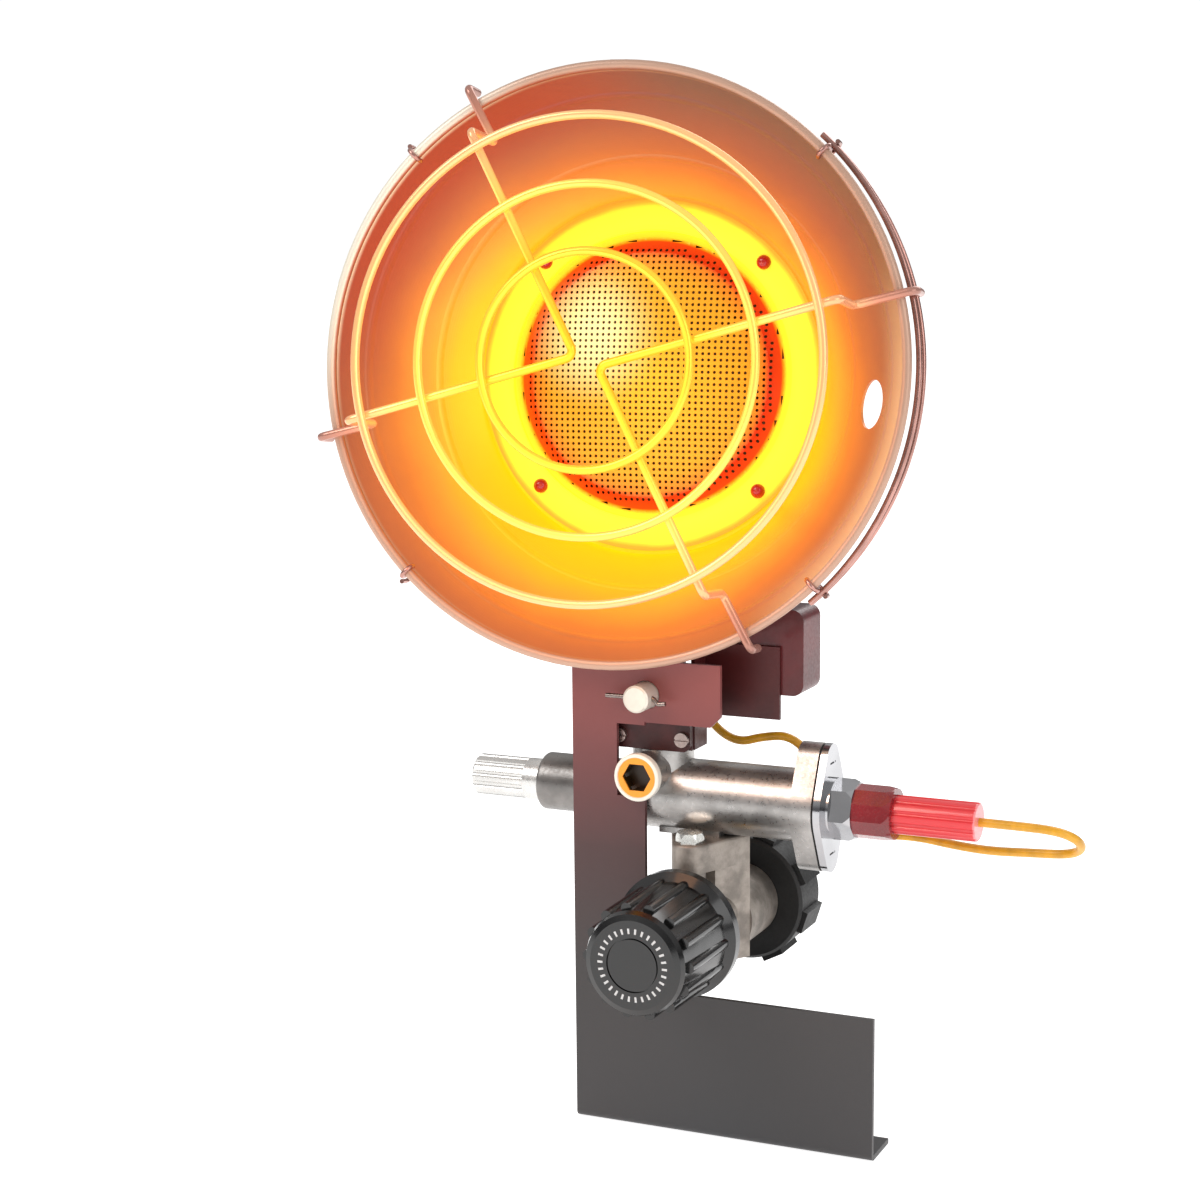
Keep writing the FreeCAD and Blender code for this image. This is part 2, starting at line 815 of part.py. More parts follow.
def flange_screw(place):
    face = end_plate_right()
    shank = rod(flange_screw_radius, V(flange_left + 2.0, place.y, place.z), V(face - 1.6, place.y, place.z))
    head = Part.makeCone(flange_screw_radius, flange_screw_head, 1.6, V(face - 1.6, place.y, place.z), X_AXIS)
    return fuse([shank, head])


def flange_screws():
    screws = []
    for place in flange_screw_places(0):
        slot = block(V(end_plate_right() - 0.6, place.y - 3.0, place.z - 0.4),
                     V(end_plate_right() + 1.0, place.y + 3.0, place.z + 0.4))
        screws.append(flange_screw(place).cut(slot))
    return Part.makeCompound(screws)


def magnet_unit():
    shell = rod(magnet_radius, valve_point(magnet_left), valve_point(gasket_right()))
    post = rod(terminal_radius, valve_point(gasket_right()), valve_point(collar_left() + 5.0))
    return fuse([shell, post])


def outlet_nut():
    left = end_plate_right()
    right = left + outlet_nut_length
    body = polygon_bar(outlet_nut_radius, 6, valve_point(left + 2.0), valve_point(right), 12.0)
    washer = rod(outlet_nut_radius, valve_point(left), valve_point(left + 2.0))
    trim = Part.makeCone(outlet_nut_radius + 3.0, outlet_nut_radius - 1.0, outlet_nut_length, valve_point(left), X_AXIS)
    return fuse([body, washer]).common(trim).cut(rod(terminal_radius, valve_point(0), valve_point(200)))


def collar_left():
    return end_plate_right() + outlet_nut_length


def connector_left():
    return collar_left() + collar_length


def connector_end():
    return connector_left() + connector_length


def connector_collar():
    left = collar_left()
    right = connector_left()
    body = polygon_bar(collar_radius, collar_facets, valve_point(left), valve_point(right), 9.0)
    round_ends = Part.makeCone(collar_radius + 2.2, collar_radius - 0.6, collar_length, valve_point(left), X_AXIS)
    body = body.common(round_ends)
    return body.cut(rod(terminal_radius, valve_point(0), valve_point(left + 5.0)))


def red_connector():
    body = rod(connector_radius, valve_point(connector_left()), valve_point(connector_end()))
    body = body.makeFillet(0.8, [e for e in body.Edges if e.BoundBox.XMin > connector_end() - 0.01])
    for i in range(connector_flutes):
        angle = math.radians(360.0 * (i + 0.5) / connector_flutes)
        out = connector_radius + 0.6
        centre = V(connector_left() - 1.0, valve_y + out * math.cos(angle), valve_z + out * math.sin(angle))
        body = body.cut(rod(connector_groove + 0.6, centre, centre.add(V(connector_length + 3.0, 0, 0))))
    return body.cut(rod(lead_radius, valve_point(connector_end() - lead_entry), valve_point(200)))


def hex_plug():
    face = plug_face
    flange = rod(plug_flange_radius, V(plug_x, face, plug_z), V(plug_x, face + plug_flange_thick, plug_z))
    flange = flange.makeFillet(0.6, [e for e in flange.Edges if e.BoundBox.YMax < face + 0.01])
    shank = rod(plug_shank_radius, V(plug_x, face + plug_flange_thick, plug_z),
                V(plug_x, face + plug_flange_thick + plug_shank_length, plug_z))
    corner = hex_across / math.sqrt(3.0)
    corners = []
    for i in range(6):
        angle = math.radians(60.0 * i)
        corners.append(V(plug_x + corner * math.cos(angle), face - 1.0, plug_z + corner * math.sin(angle)))
    socket = prism(corners, V(0, hex_depth + 1.0, 0))
    ring_inner = plug_flange_radius - plug_ring_width
    groove = rod(ring_inner, V(plug_x, face - 1.0, plug_z), V(plug_x, face + plug_ring_thick, plug_z))
    return fuse([flange, shank]).cut(socket).cut(groove)


# Push button side of the safety valve

def push_button_guide():
    body = rod(guide_radius, valve_point(guide_left), valve_point(valve_left))
    body = body.makeFillet(1.2, [e for e in body.Edges if e.BoundBox.XMax < guide_left + 0.01])
    narrow = rod(button_radius + running_gap, valve_point(guide_left - 1.0), valve_point(0))
    wide = rod(spigot_radius, valve_point(guide_left + guide_lip), valve_point(0))
    return body.cut(narrow).cut(wide)


def button_flange_right():
    return guide_left + guide_lip + 0.1 + button_flange_thick


def push_button():
    grip_end = guide_left - 1.5 - button_travel
    body = rod(button_radius, valve_point(button_left), valve_point(button_flange_right()))
    body = body.makeFillet(1.0, [e for e in body.Edges if e.BoundBox.XMax < button_left + 0.01])
    flange = rod(button_flange_radius, valve_point(button_flange_right() - button_flange_thick),
                 valve_point(button_flange_right()))
    body = fuse([body, flange])
    for i in range(button_flutes):
        angle = math.radians(360.0 * (i + 0.5) / button_flutes)
        out = button_radius + 0.7
        centre = V(button_left - 1.0, valve_y + out * math.cos(angle), valve_z + out * math.sin(angle))
        groove = rod(flute_depth + 0.7, centre, V(grip_end, centre.y, centre.z))
        body = body.cut(groove)
    socket = rod(plunger_radius, valve_point(button_flange_right() - 12.0), valve_point(0))
    return body.cut(socket)


def valve_plunger():
    stem = rod(plunger_radius, valve_point(button_flange_right() - 12.0), valve_point(poppet_x))
    poppet = rod(poppet_radius, valve_point(poppet_x - poppet_thick), valve_point(poppet_x))
    poppet = poppet.makeChamfer(0.8, [e for e in poppet.Edges if e.BoundBox.XMax < poppet_x - poppet_thick + 0.01])
    return fuse([stem, poppet])


def plunger_seal():
    left = valve_left - spigot_length + 2.0
    return pipe_bar(plunger_seal_outer, plunger_radius + running_gap, valve_point(left),
                    valve_point(left + plunger_seal_thick))


def button_spring():
    left = button_flange_right() + button_spring_wire / 2.0 + 0.05
    right = valve_left - spigot_length - button_spring_wire / 2.0 - 0.05
    return coil(button_spring_outer - button_spring_wire / 2.0, button_spring_wire / 2.0,
                (right - left) / button_spring_turns, button_spring_turns, valve_point(left), X_AXIS)


# Neck, mixer tube and gas jet

def tube_route():
    foot = V(neck_x, valve_y, neck_level)
    knee = V(neck_x, valve_y, tube_knee_level)
    heel = head_point(0, -tube_foot_height, -tube_entry_depth)
    end = head_point(0, -tube_entry_end, -tube_entry_depth)
    return rounded_route([foot, knee, heel, end], [tube_bend, tube_bend])


def mixer_tube():
    outer = sweep(tube_route(), tube_radius)
    inner = sweep(tube_route(), tube_radius - tube_wall)
    return outer.cut(inner)


def gas_jet():
    base = V(neck_x, valve_y, neck_level)
    thread = rod(jet_radius, base.sub(V(0, 0, 6.0)), base.add(V(0, 0, 3.0)))
    head = polygon_bar(jet_hex / 2.0, 6, base.add(V(0, 0, 3.0)), base.add(V(0, 0, 7.0)))
    tip = Part.makeCone(3.0, 1.5, 4.0, base.add(V(0, 0, 7.0)))
    bore = rod(jet_bore, base.sub(V(0, 0, 20)), base.add(V(0, 0, 20)))
    return fuse([thread, head, tip]).cut(bore)


# Head bracket, clamp and stud

def head_bracket_back():
    """Y of the head bracket's back face, against the tube."""
    return valve_y - tube_radius - 0.1


def clamp_screw_places():
    return [V(neck_x + side * clamp_screw_offset, 0, clamp_level) for side in (-1, 1)]


def head_bracket():
    back = head_bracket_back()
    plate = block(V(neck_x - bracket_plate_half_width, back - head_bracket_thick, bracket_plate_low),
                  V(neck_x + bracket_plate_half_width, back, bracket_plate_high))
    upright = [e for e in plate.Edges if e.Length < head_bracket_thick + 0.01]
    plate = plate.makeFillet(3.0, upright)
    plate = plate.cut(rod(stud_tail_radius, V(neck_x, -200, stud_z), V(neck_x, 0, stud_z)))
    for place in clamp_screw_places():
        plate = plate.cut(rod(clamp_screw_radius + drill_gap, V(place.x, -200, place.z), V(place.x, 0, place.z)))
    return plate


def neck_clamp():
    low = clamp_level - clamp_height / 2.0
    high = clamp_level + clamp_height / 2.0
    axis_low = V(neck_x, valve_y, low)
    axis_high = V(neck_x, valve_y, high)
    band = rod(tube_radius + drill_gap + clamp_thick, axis_low, axis_high)
    back = head_bracket_back()
    ears = block(V(neck_x - bracket_plate_half_width, back, low), V(neck_x + bracket_plate_half_width, back + clamp_thick, high))
    clamp = fuse([band, ears]).cut(rod(tube_radius + drill_gap, axis_low, axis_high))
    front = block(V(neck_x - 40, -200, low - 1), V(neck_x + 40, back, high + 1))
    clamp = clamp.cut(front)
    opening = block(V(neck_x - tube_radius + 2.0, back - 1.0, low - 1), V(neck_x + tube_radius - 2.0, back + 4.0, high + 1))
    clamp = clamp.cut(opening)
    for place in clamp_screw_places():
        clamp = clamp.cut(rod(clamp_screw_radius + drill_gap, V(place.x, -200, place.z), V(place.x, 0, place.z)))
    return clamp


def clamp_screws():
    front = head_bracket_back() - head_bracket_thick
    back = head_bracket_back() + clamp_thick + strap_thick
    screws = []
    for place in clamp_screw_places():
        shank = rod(clamp_screw_radius, V(place.x, front, place.z), V(place.x, back + 3.0, place.z))
        head = rod(clamp_screw_head, V(place.x, front - clamp_screw_head_thick, place.z), V(place.x, front, place.z))
        slot = block(V(place.x - 3.5, front - clamp_screw_head_thick - 1.0, place.z - 0.4),
                     V(place.x + 3.5, front - clamp_screw_head_thick + 0.7, place.z + 0.4))
        screws.append(fuse([shank, head]).cut(slot))
    return Part.makeCompound(screws)


def bracket_stud():
    plate_back = plate_front + plate_thick
    bracket_face = head_bracket_back() - head_bracket_thick
    pin = rod(stud_radius, V(neck_x, stud_front, stud_z), V(neck_x, plate_back + 0.2, stud_z))
    pin = pin.makeChamfer(0.7, [e for e in pin.Edges if e.BoundBox.YMax < stud_front + 0.01])
    shoulder = rod(stud_shoulder_radius, V(neck_x, plate_back + 0.2, stud_z), V(neck_x, bracket_face, stud_z))
    tail = rod(stud_tail_radius, V(neck_x, bracket_face, stud_z), V(neck_x, head_bracket_back(), stud_z))
    hole = rod(clip_wire_radius + drill_gap, V(neck_x - 20, clip_y, stud_z), V(neck_x + 20, clip_y, stud_z))
    return fuse([pin, shoulder, tail]).cut(hole)


def retaining_clip():
    right = neck_x + clip_right_reach
    points = [
        V(neck_x - clip_left_reach, clip_y, stud_z),
        V(right, clip_y, stud_z),
        V(right + clip_kink, clip_y, stud_z - clip_kink),
        V(right + clip_kink + clip_tail, clip_y, stud_z - clip_kink + 0.4),
    ]
    return bent_wire(points, 0.95, clip_wire_radius)


# Support bracket

def support_bracket():
    def at(x, z):
        return V(plate_left + x, plate_front, foot_level + z)

    tab_low = bracket_height - tab_height
    outline = [
        at(0, 0), at(foot_width, 0), at(foot_width, foot_height), at(strip_width, foot_height),
        at(strip_width, notch_low), at(notch_left, notch_low), at(notch_left, notch_high),
        at(strip_width, notch_high), at(strip_width, tab_low), at(tab_width - tab_chamfer, tab_low),
        at(tab_width, tab_low + tab_chamfer), at(tab_width, bracket_height), at(0, bracket_height),
    ]
    plate = prism(outline, V(0, plate_thick, 0))
    lip = block(at(0, 0), at(foot_width, plate_thick).add(V(0, lip_depth, 0)))
    bracket = fuse([plate, lip])
    corner = [e for e in bracket.Edges
              if e.BoundBox.YMax < plate_front + 0.01 and e.BoundBox.ZMax < foot_level + 0.01]
    bracket = bracket.makeFillet(bend_radius, corner)
    hole = rod(stud_radius + seat_gap, V(neck_x, -200, stud_z), V(neck_x, 0, stud_z))
    return bracket.cut(hole)


# Tilt switch

def case_box(shrink, front, back):
    """Rounded box across the case's width and height, shrunk all round."""
    low = V(case_left + shrink, front, case_low + shrink)
    high = V(case_left + case_width - shrink, back, case_low + case_height - shrink)
    shape = block(low, high)
    upright = [e for e in shape.Edges if abs(e.Length - (back - front)) < 0.01 and e.BoundBox.ZLength < 0.01]
    return shape.makeFillet(case_corner - shrink, upright)


def case_back():
    return case_front + case_depth


def lid_screw_places():
    inset = case_wall + lid_boss_radius - 0.3
    z = case_low + case_height - inset
    return [V(case_left + inset, 0, z), V(case_left + case_width - inset, 0, z)]


def pivot_place():
    return V(case_left + case_width / 2.0, 0, case_low + pivot_height)


def tilt_switch_case():
    shell = case_box(0.0, case_front, case_back()).cut(case_box(case_wall, case_front + case_wall, case_back() + 1.0))
    bosses = []
    for place in lid_screw_places():
        bosses.append(rod(lid_boss_radius, V(place.x, case_front + 1.0, place.z), V(place.x, case_back(), place.z)))
    shell = fuse([shell] + bosses)
    for place in lid_screw_places():
        shell = shell.cut(rod(lid_screw_radius, V(place.x, case_back() - lid_screw_length, place.z),
                              V(place.x, 0, place.z)))
    pivot = pivot_place()
    shell = shell.cut(rod(pivot_radius, V(pivot.x, case_front + 0.8, pivot.z), V(pivot.x, 0, pivot.z)))
    end = lead_points[-1]
    return shell.cut(rod(lead_radius, V(case_left - 5.0, end.y, end.z), V(case_left + 3.0, end.y, end.z)))


def tilt_switch_lid():
    lid = case_box(0.0, case_back(), case_back() + lid_thick)
    for place in lid_screw_places():
        lid = lid.cut(rod(lid_screw_radius + drill_gap, V(place.x, -100, place.z), V(place.x, 0, place.z)))
    return lid


def tilt_lid_screws():
    face = case_back() + lid_thick
    screws = []
    for place in lid_screw_places():
        shank = rod(lid_screw_radius, V(place.x, case_back() - lid_screw_length + 1.0, place.z), V(place.x, face, place.z))
        head = rod(lid_screw_head, V(place.x, face, place.z), V(place.x, face + 1.2, place.z))
        screws.append(fuse([shank, head]))
    return Part.makeCompound(screws)


def pivot_pin():
    pivot = pivot_place()
    return rod(pivot_radius, V(pivot.x, case_front + 0.8, pivot.z), V(pivot.x, case_back(), pivot.z))


def tilt_pendulum():
    pivot = pivot_place()
    front = case_front + case_wall + pendulum_setback
    back = front + pendulum_thick
    hub = rod(pendulum_hub, V(pivot.x, front, pivot.z), V(pivot.x, back, pivot.z))
    bob_z = pivot.z - pendulum_arm
    bob = rod(pendulum_radius, V(pivot.x, front, bob_z), V(pivot.x, back, bob_z))
    arm = block(V(pivot.x - 1.5, front + 2.0, bob_z), V(pivot.x + 1.5, back - 2.0, pivot.z))
    return fuse([hub, bob, arm]).cut(rod(pivot_radius + running_gap, V(pivot.x, -100, pivot.z), V(pivot.x, 0, pivot.z)))


def tilt_contacts():
    front = case_front + case_wall
    z = case_low + 12.0
    blades = []
    for x in (case_left + 3.5, case_left + case_width - 3.5 - contact_width):
        blades.append(block(V(x, front, z), V(x + contact_width, front + contact_depth, z + contact_height)))
    return Part.makeCompound(blades)


def switch_strap():
    ear_back = head_bracket_back() + clamp_thick
    low = clamp_level - clamp_height / 2.0
    lower = block(V(neck_x + clamp_screw_offset - 2.5, ear_back, low), V(strap_x, ear_back + strap_thick, low + clamp_height))
    web = block(V(strap_x - strap_thick, ear_back, low), V(strap_x, case_front, low + strap_height))
    wing = block(V(strap_x - strap_thick, case_front - strap_thick, low + 12.0),
                 V(case_left + case_width * 0.7, case_front, low + strap_height))
    strap = fuse([lower, web, wing])
    place = clamp_screw_places()[1]
    return strap.cut(rod(clamp_screw_radius + drill_gap, V(place.x, -200, place.z), V(place.x, 0, place.z)))


# Yellow lead

def lead_radii():
    radii = []
    for i in range(1, len(lead_points) - 1):
        back = lead_points[i - 1].sub(lead_points[i])
        ahead = lead_points[i + 1].sub(lead_points[i])
        half_turn = (math.pi - back.getAngle(ahead)) / 2.0
        radii.append(lead_bend_share * min(back.Length, ahead.Length) / math.tan(half_turn))
    return radii


def switch_lead():
    radii = lead_radii()
    route = rounded_route(lead_points, radii)
    lead = sweep(route, lead_radius)
    print("lead bend radii", [round(r, 1) for r in radii])
    print("lead length", round(route.Length, 1), "volume ratio",
          round(lead.Volume / (math.pi * lead_radius ** 2 * route.Length), 4))
    return lead


# Burner head

def ring_back():
    return -dish_depth + screen_thick


def dish_profile(offset):
    """Wall line from the floor to the rim as one arc, offset outwards along its normal."""
    floor_z = -dish_depth
    slope = math.hypot(dish_radius - dish_floor_radius, dish_depth)
    out_r = dish_depth / slope
    out_z = -(dish_radius - dish_floor_radius) / slope
    start = V(dish_floor_radius + offset * out_r, 0, floor_z + offset * out_z)
    end = V(dish_radius - rim_wire_radius + offset * out_r, 0, offset * out_z)
    middle = V((start.x + end.x) / 2.0 + dish_bulge * out_r, 0, (start.z + end.z) / 2.0 + dish_bulge * out_z)
    return start, middle, end


def dish_shell():
    inner_start, inner_middle, inner_end = dish_profile(0.0)
    outer_start, outer_middle, outer_end = dish_profile(sheet_thick)
    floor_in = V(burner_opening + 1.0, 0, -dish_depth)
    floor_out = V(burner_opening + 1.0, 0, -dish_depth - sheet_thick)
    outer_corner = V(outer_start.x, 0, -dish_depth - sheet_thick)
    edges = [
        Part.LineSegment(floor_in, inner_start).toShape(),
        Part.Arc(inner_start, inner_middle, inner_end).toShape(),
        Part.LineSegment(inner_end, outer_end).toShape(),
        Part.Arc(outer_end, outer_middle, outer_start).toShape(),
    ]
    if outer_corner.sub(outer_start).Length > 0.01:
        edges.append(Part.LineSegment(outer_start, outer_corner).toShape())
    edges.append(Part.LineSegment(outer_corner, floor_out).toShape())
    edges.append(Part.LineSegment(floor_out, floor_in).toShape())
    return Part.Face(Part.Wire(edges)).revolve(V(0, 0, 0), Z_AXIS, 360)


def reflector_dish():
    rim = Part.makeTorus(dish_radius - rim_wire_radius, rim_wire_radius)
    dish = fuse([dish_shell(), rim])
    angle = math.radians(match_hole_angle)
    centre = V(match_hole_out * math.cos(angle), match_hole_out * math.sin(angle), -match_hole_axial)
    slope = math.hypot(dish_radius - dish_floor_radius, dish_depth)
    normal = V(dish_depth / slope * math.cos(angle), dish_depth / slope * math.sin(angle),
               -(dish_radius - dish_floor_radius) / slope)
    dish = dish.cut(rod(match_hole_radius, centre.sub(V(normal).multiply(15)), centre.add(V(normal).multiply(15))))
    for place in rivet_places():
        dish = dish.cut(rod(rivet_radius, V(place.x, place.y, -80), V(place.x, place.y, 0)))
    return on_head(dish)


def rivet_places():
    places = []
    for i in range(rivets):
        angle = math.radians(45.0 + 360.0 * i / rivets)
        places.append(V(rivet_circle * math.cos(angle), rivet_circle * math.sin(angle), 0))
    return places


def drill_rivets(shape):
    for place in rivet_places():
        shape = shape.cut(rod(rivet_radius, V(place.x, place.y, -100), V(place.x, place.y, 0)))
    return shape


def burner_ring():
    low = ring_back()
    ring = pipe_bar(burner_ring_radius, burner_opening, V(0, 0, low), V(0, 0, low + burner_ring_thick))
    return on_head(drill_rivets(ring))


def burner_screen():
    low = -dish_depth
    top = low + screen_thick
    rise = screen_step_rise
    crown = rise + screen_crown

    sphere = (screen_step_inner ** 2 + screen_crown ** 2) / (2.0 * screen_crown)

    def skin(z):
        bow = math.sqrt(sphere ** 2 - screen_step_inner ** 2 / 4.0) - (sphere - screen_crown)
        crown_middle = V(screen_step_inner / 2.0, 0, z + rise + bow)
        return [
            Part.LineSegment(V(screen_flange_radius, 0, z), V(screen_step_outer, 0, z)).toShape(),
            Part.LineSegment(V(screen_step_outer, 0, z), V(screen_step_inner, 0, z + rise)).toShape(),
            Part.Arc(V(screen_step_inner, 0, z + rise), crown_middle, V(0, 0, z + crown)).toShape(),
        ]

    edges = skin(top)
    edges.append(Part.LineSegment(V(0, 0, top + crown), V(0, 0, low + crown)).toShape())
    edges += skin(low)
    edges.append(Part.LineSegment(V(screen_flange_radius, 0, low), V(screen_flange_radius, 0, top)).toShape())
    outline = Part.Wire(Part.__sortEdges__(edges))
    screen = Part.Face(outline).revolve(V(0, 0, 0), Z_AXIS, 360)
    return on_head(drill_rivets(screen))


def cup_back():
    return -dish_depth - sheet_thick - cup_depth


def burner_cup():
    front = -dish_depth - sheet_thick
    back = cup_back()
    outer = [(cup_radius, front - cup_wall), (cup_back_radius, back)]
    outline = [
        (cup_radius - cup_wall, front), (burner_ring_radius, front), (burner_ring_radius, front - cup_wall),
        outer[0], outer[1], (0, back), (0, back + cup_wall), (cup_back_radius - cup_wall, back + cup_wall),
        (cup_radius - cup_wall, front - cup_wall),
    ]
    cup = spun(outline)
    cup = drill_rivets(cup)
    entry = rod(tube_radius + drill_gap, V(0, -tube_entry_end, -tube_entry_depth), V(0, -tube_foot_height, -tube_entry_depth))
    return on_head(cup.cut(entry))


def burner_baffle():
    back = cup_back() + cup_wall
    plate = rod(baffle_radius, V(0, 0, back + baffle_depth), V(0, 0, back + baffle_depth + 1.0))
    shapes = [plate]
    for i in range(3):
        angle = math.radians(90.0 + 120.0 * i)
        foot = V((baffle_radius - 5.0) * math.cos(angle), (baffle_radius - 5.0) * math.sin(angle), back)
        shapes.append(rod(baffle_leg_radius, foot, foot.add(V(0, 0, baffle_depth))))
    return on_head(fuse(shapes))


def burner_rivets():
    face = ring_back() + burner_ring_thick
    back = -dish_depth - sheet_thick - cup_wall
    pieces = []
    for place in rivet_places():
        low = V(place.x, place.y, back - rivet_tail)
        shank = rod(rivet_radius, low, V(place.x, place.y, face))
        tail = rod(rivet_radius + 0.9, low, V(place.x, place.y, back))
        sphere = Part.makeSphere(rivet_head_radius, V(place.x, place.y, face))
        cap = sphere.common(rod(rivet_head_radius + 1.0, V(place.x, place.y, face), V(place.x, place.y, face + 10)))
        pieces.append(on_head(fuse([shank, tail, cap])))
    return Part.makeCompound(pieces)


# Wire guard

def guard_ring(radius):
    return on_head(Part.makeTorus(radius, guard_wire, V(0, 0, guard_lift)))


def guard_ring_small():
    return guard_ring(guard_small)


def guard_ring_middle():
    return guard_ring(guard_middle)


def guard_ring_large():
    return guard_ring(guard_large)


def arm_point(angle, radius, z):
    turn = math.radians(angle)
    return V(radius * math.cos(turn), radius * math.sin(turn), z)


def guard_vee(middle):
    """Wire from one rim hook to the next, bent at the middle of the guard."""
    level = guard_lift - 2.0 * guard_wire - 0.05
    first = middle - vee_spread / 2.0
    second = middle + vee_spread / 2.0

    def arm(angle):
        return [
            arm_point(angle, hook_reach, -hook_back),
            arm_point(angle, hook_reach, rim_crossing),
            arm_point(angle, arm_reach, rim_crossing),
            arm_point(angle, arm_reach, level),
        ]

    apex = [arm_point(middle, vee_apex, level)]
    points = arm(first) + apex + arm(second)[::-1]
    wire = bent_wire(points, arm_bend, guard_wire)
    return on_head(wire)


def guard_vee_left():
    return guard_vee(vee_middle)


def guard_vee_right():
    return guard_vee(vee_middle + 180.0)


def side_wire_arc(depth, bow):
    """Wire round the right of the rim; bow is the depth of its middle."""
    ends = [arm_point(side * side_wire_span, side_wire_radius, -depth) for side in (-1, 1)]
    arc = Part.Arc(ends[0], arm_point(0, side_wire_radius, -bow), ends[1]).toShape()
    return on_head(sweep(Part.Wire([arc]), side_wire))


def guard_side_wire_front():
    return side_wire_arc(side_wire_front, side_wire_front)


def guard_side_wire_rear():
    return side_wire_arc(side_wire_rear, side_wire_bow)


def rim_clip(angle):
    """Wire hook over the rim's bead and round the ends of the side wires."""
    bead = dish_radius - rim_wire_radius
    around_bead = rim_wire_radius + rim_clip_wire + rim_clip_gap
    around_wire = side_wire + rim_clip_wire + rim_clip_gap
    inner = side_wire_radius - around_wire * rim_clip_lean
    outer = bead + around_bead * rim_clip_lean
    lean = (outer - inner) / side_wire_front
    top = around_bead
    span = math.cos(math.radians(side_wire_span))
    share = (math.cos(math.radians(45.0)) - span) / (1.0 - span)
    low = -side_wire_rear - (side_wire_bow - side_wire_rear) * share - around_wire - rim_clip_slack
    points = [
        arm_point(angle, bead - around_bead, -0.5),
        arm_point(angle, bead - around_bead, top),
        arm_point(angle, outer + lean * top, top),
        arm_point(angle, outer + lean * low, low),
        arm_point(angle, side_wire_radius + around_wire, low),
        arm_point(angle, side_wire_radius + around_wire, -side_wire_front),
    ]
    bends = [around_bead, around_bead, around_wire, around_wire]
    return on_head(sweep(rounded_route(points, bends), rim_clip_wire))


def rim_clips():
    return Part.makeCompound([rim_clip(45.0 + 360.0 * i / rim_clips_count) for i in range(rim_clips_count)])


nodes = [
    reflector_dish, burner_ring, burner_screen, burner_cup, burner_baffle, burner_rivets,
    guard_ring_small, guard_ring_middle, guard_ring_large, guard_vee_left, guard_vee_right,
    guard_side_wire_front, guard_side_wire_rear, rim_clips,
    mixer_tube, gas_jet, neck_clamp, clamp_screws, head_bracket, bracket_stud, retaining_clip, support_bracket,
    switch_strap, tilt_switch_case, tilt_switch_lid, tilt_lid_screws, pivot_pin, tilt_pendulum, tilt_contacts,
    switch_lead, valve_body, hex_plug, flange_gasket, end_plate, flange_screws, magnet_unit, outlet_nut,
    connector_collar, red_connector, push_button_guide, push_button, valve_plunger, plunger_seal, button_spring,
    regulator_body, regulator_cover, cover_bolts, diaphragm, diaphragm_plate, diaphragm_spring, outlet_pipe,
    control_knob, control_stem, stem_gland, stem_seal, coupling_nut, inlet_nipple, nipple_seal,
]

os.makedirs("parts", exist_ok=True)
for make in nodes:
    shape = make()
    name = make.__name__
    print(name, "solids", len(shape.Solids), "valid", shape.isValid(), "volume", round(shape.Volume, 1))
    shape.exportStep("parts/" + name + ".step")
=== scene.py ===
import math
import bpy
import numpy as np
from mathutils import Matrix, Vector


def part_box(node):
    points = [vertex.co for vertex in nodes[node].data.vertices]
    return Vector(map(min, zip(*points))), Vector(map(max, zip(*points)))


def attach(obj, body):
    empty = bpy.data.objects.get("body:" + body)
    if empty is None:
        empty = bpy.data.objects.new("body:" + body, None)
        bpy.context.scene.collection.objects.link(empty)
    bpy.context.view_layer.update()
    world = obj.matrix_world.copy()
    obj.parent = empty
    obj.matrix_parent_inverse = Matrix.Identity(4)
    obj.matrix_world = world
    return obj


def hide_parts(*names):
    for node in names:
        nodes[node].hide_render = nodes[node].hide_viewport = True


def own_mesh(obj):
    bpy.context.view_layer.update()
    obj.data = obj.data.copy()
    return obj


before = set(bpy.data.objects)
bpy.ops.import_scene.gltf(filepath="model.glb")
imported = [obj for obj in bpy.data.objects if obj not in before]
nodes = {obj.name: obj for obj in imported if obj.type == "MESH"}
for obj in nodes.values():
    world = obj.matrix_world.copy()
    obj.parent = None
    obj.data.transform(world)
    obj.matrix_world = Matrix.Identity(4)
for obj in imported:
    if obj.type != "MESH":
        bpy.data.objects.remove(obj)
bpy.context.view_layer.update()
root = "heater"
mm = 0.001
perMetre = 1000.0
white = (1.0, 1.0, 1.0, 1.0)
black = (0.0, 0.0, 0.0, 1.0)
print("stage frame")

# The camera stands where the photo was taken from: 22 degrees to the right of the front, 8.9 degrees up.
cameraSetup = {
    "place": (0.320728, -0.8194, 0.255909), "azimuth": 22.0, "down": 8.9,
    "lens": 66.48, "sensor": 36.0, "shiftX": -0.1158, "near": 0.01, "far": 50.0,
}


def makeCamera(s):
    data = bpy.data.cameras.new("photoCamera")
    data.lens = s["lens"]
    data.sensor_width = s["sensor"]
    data.shift_x = s["shiftX"]
    data.clip_start = s["near"]
    data.clip_end = s["far"]
    camera = bpy.data.objects.new("photoCamera", data)
    camera.location = s["place"]
    camera.rotation_euler = (math.radians(90.0 - s["down"]), 0.0, math.radians(s["azimuth"]))
    bpy.context.scene.collection.objects.link(camera)
    bpy.context.scene.camera = camera


makeCamera(cameraSetup)
print("stage camera")


# Material helpers. Colours are given as sRGB and turned to linear light here.

def linear(color):
    light = [c / 12.92 if c <= 0.04045 else ((c + 0.055) / 1.055) ** 2.4 for c in color]
    return (*light, 1.0)


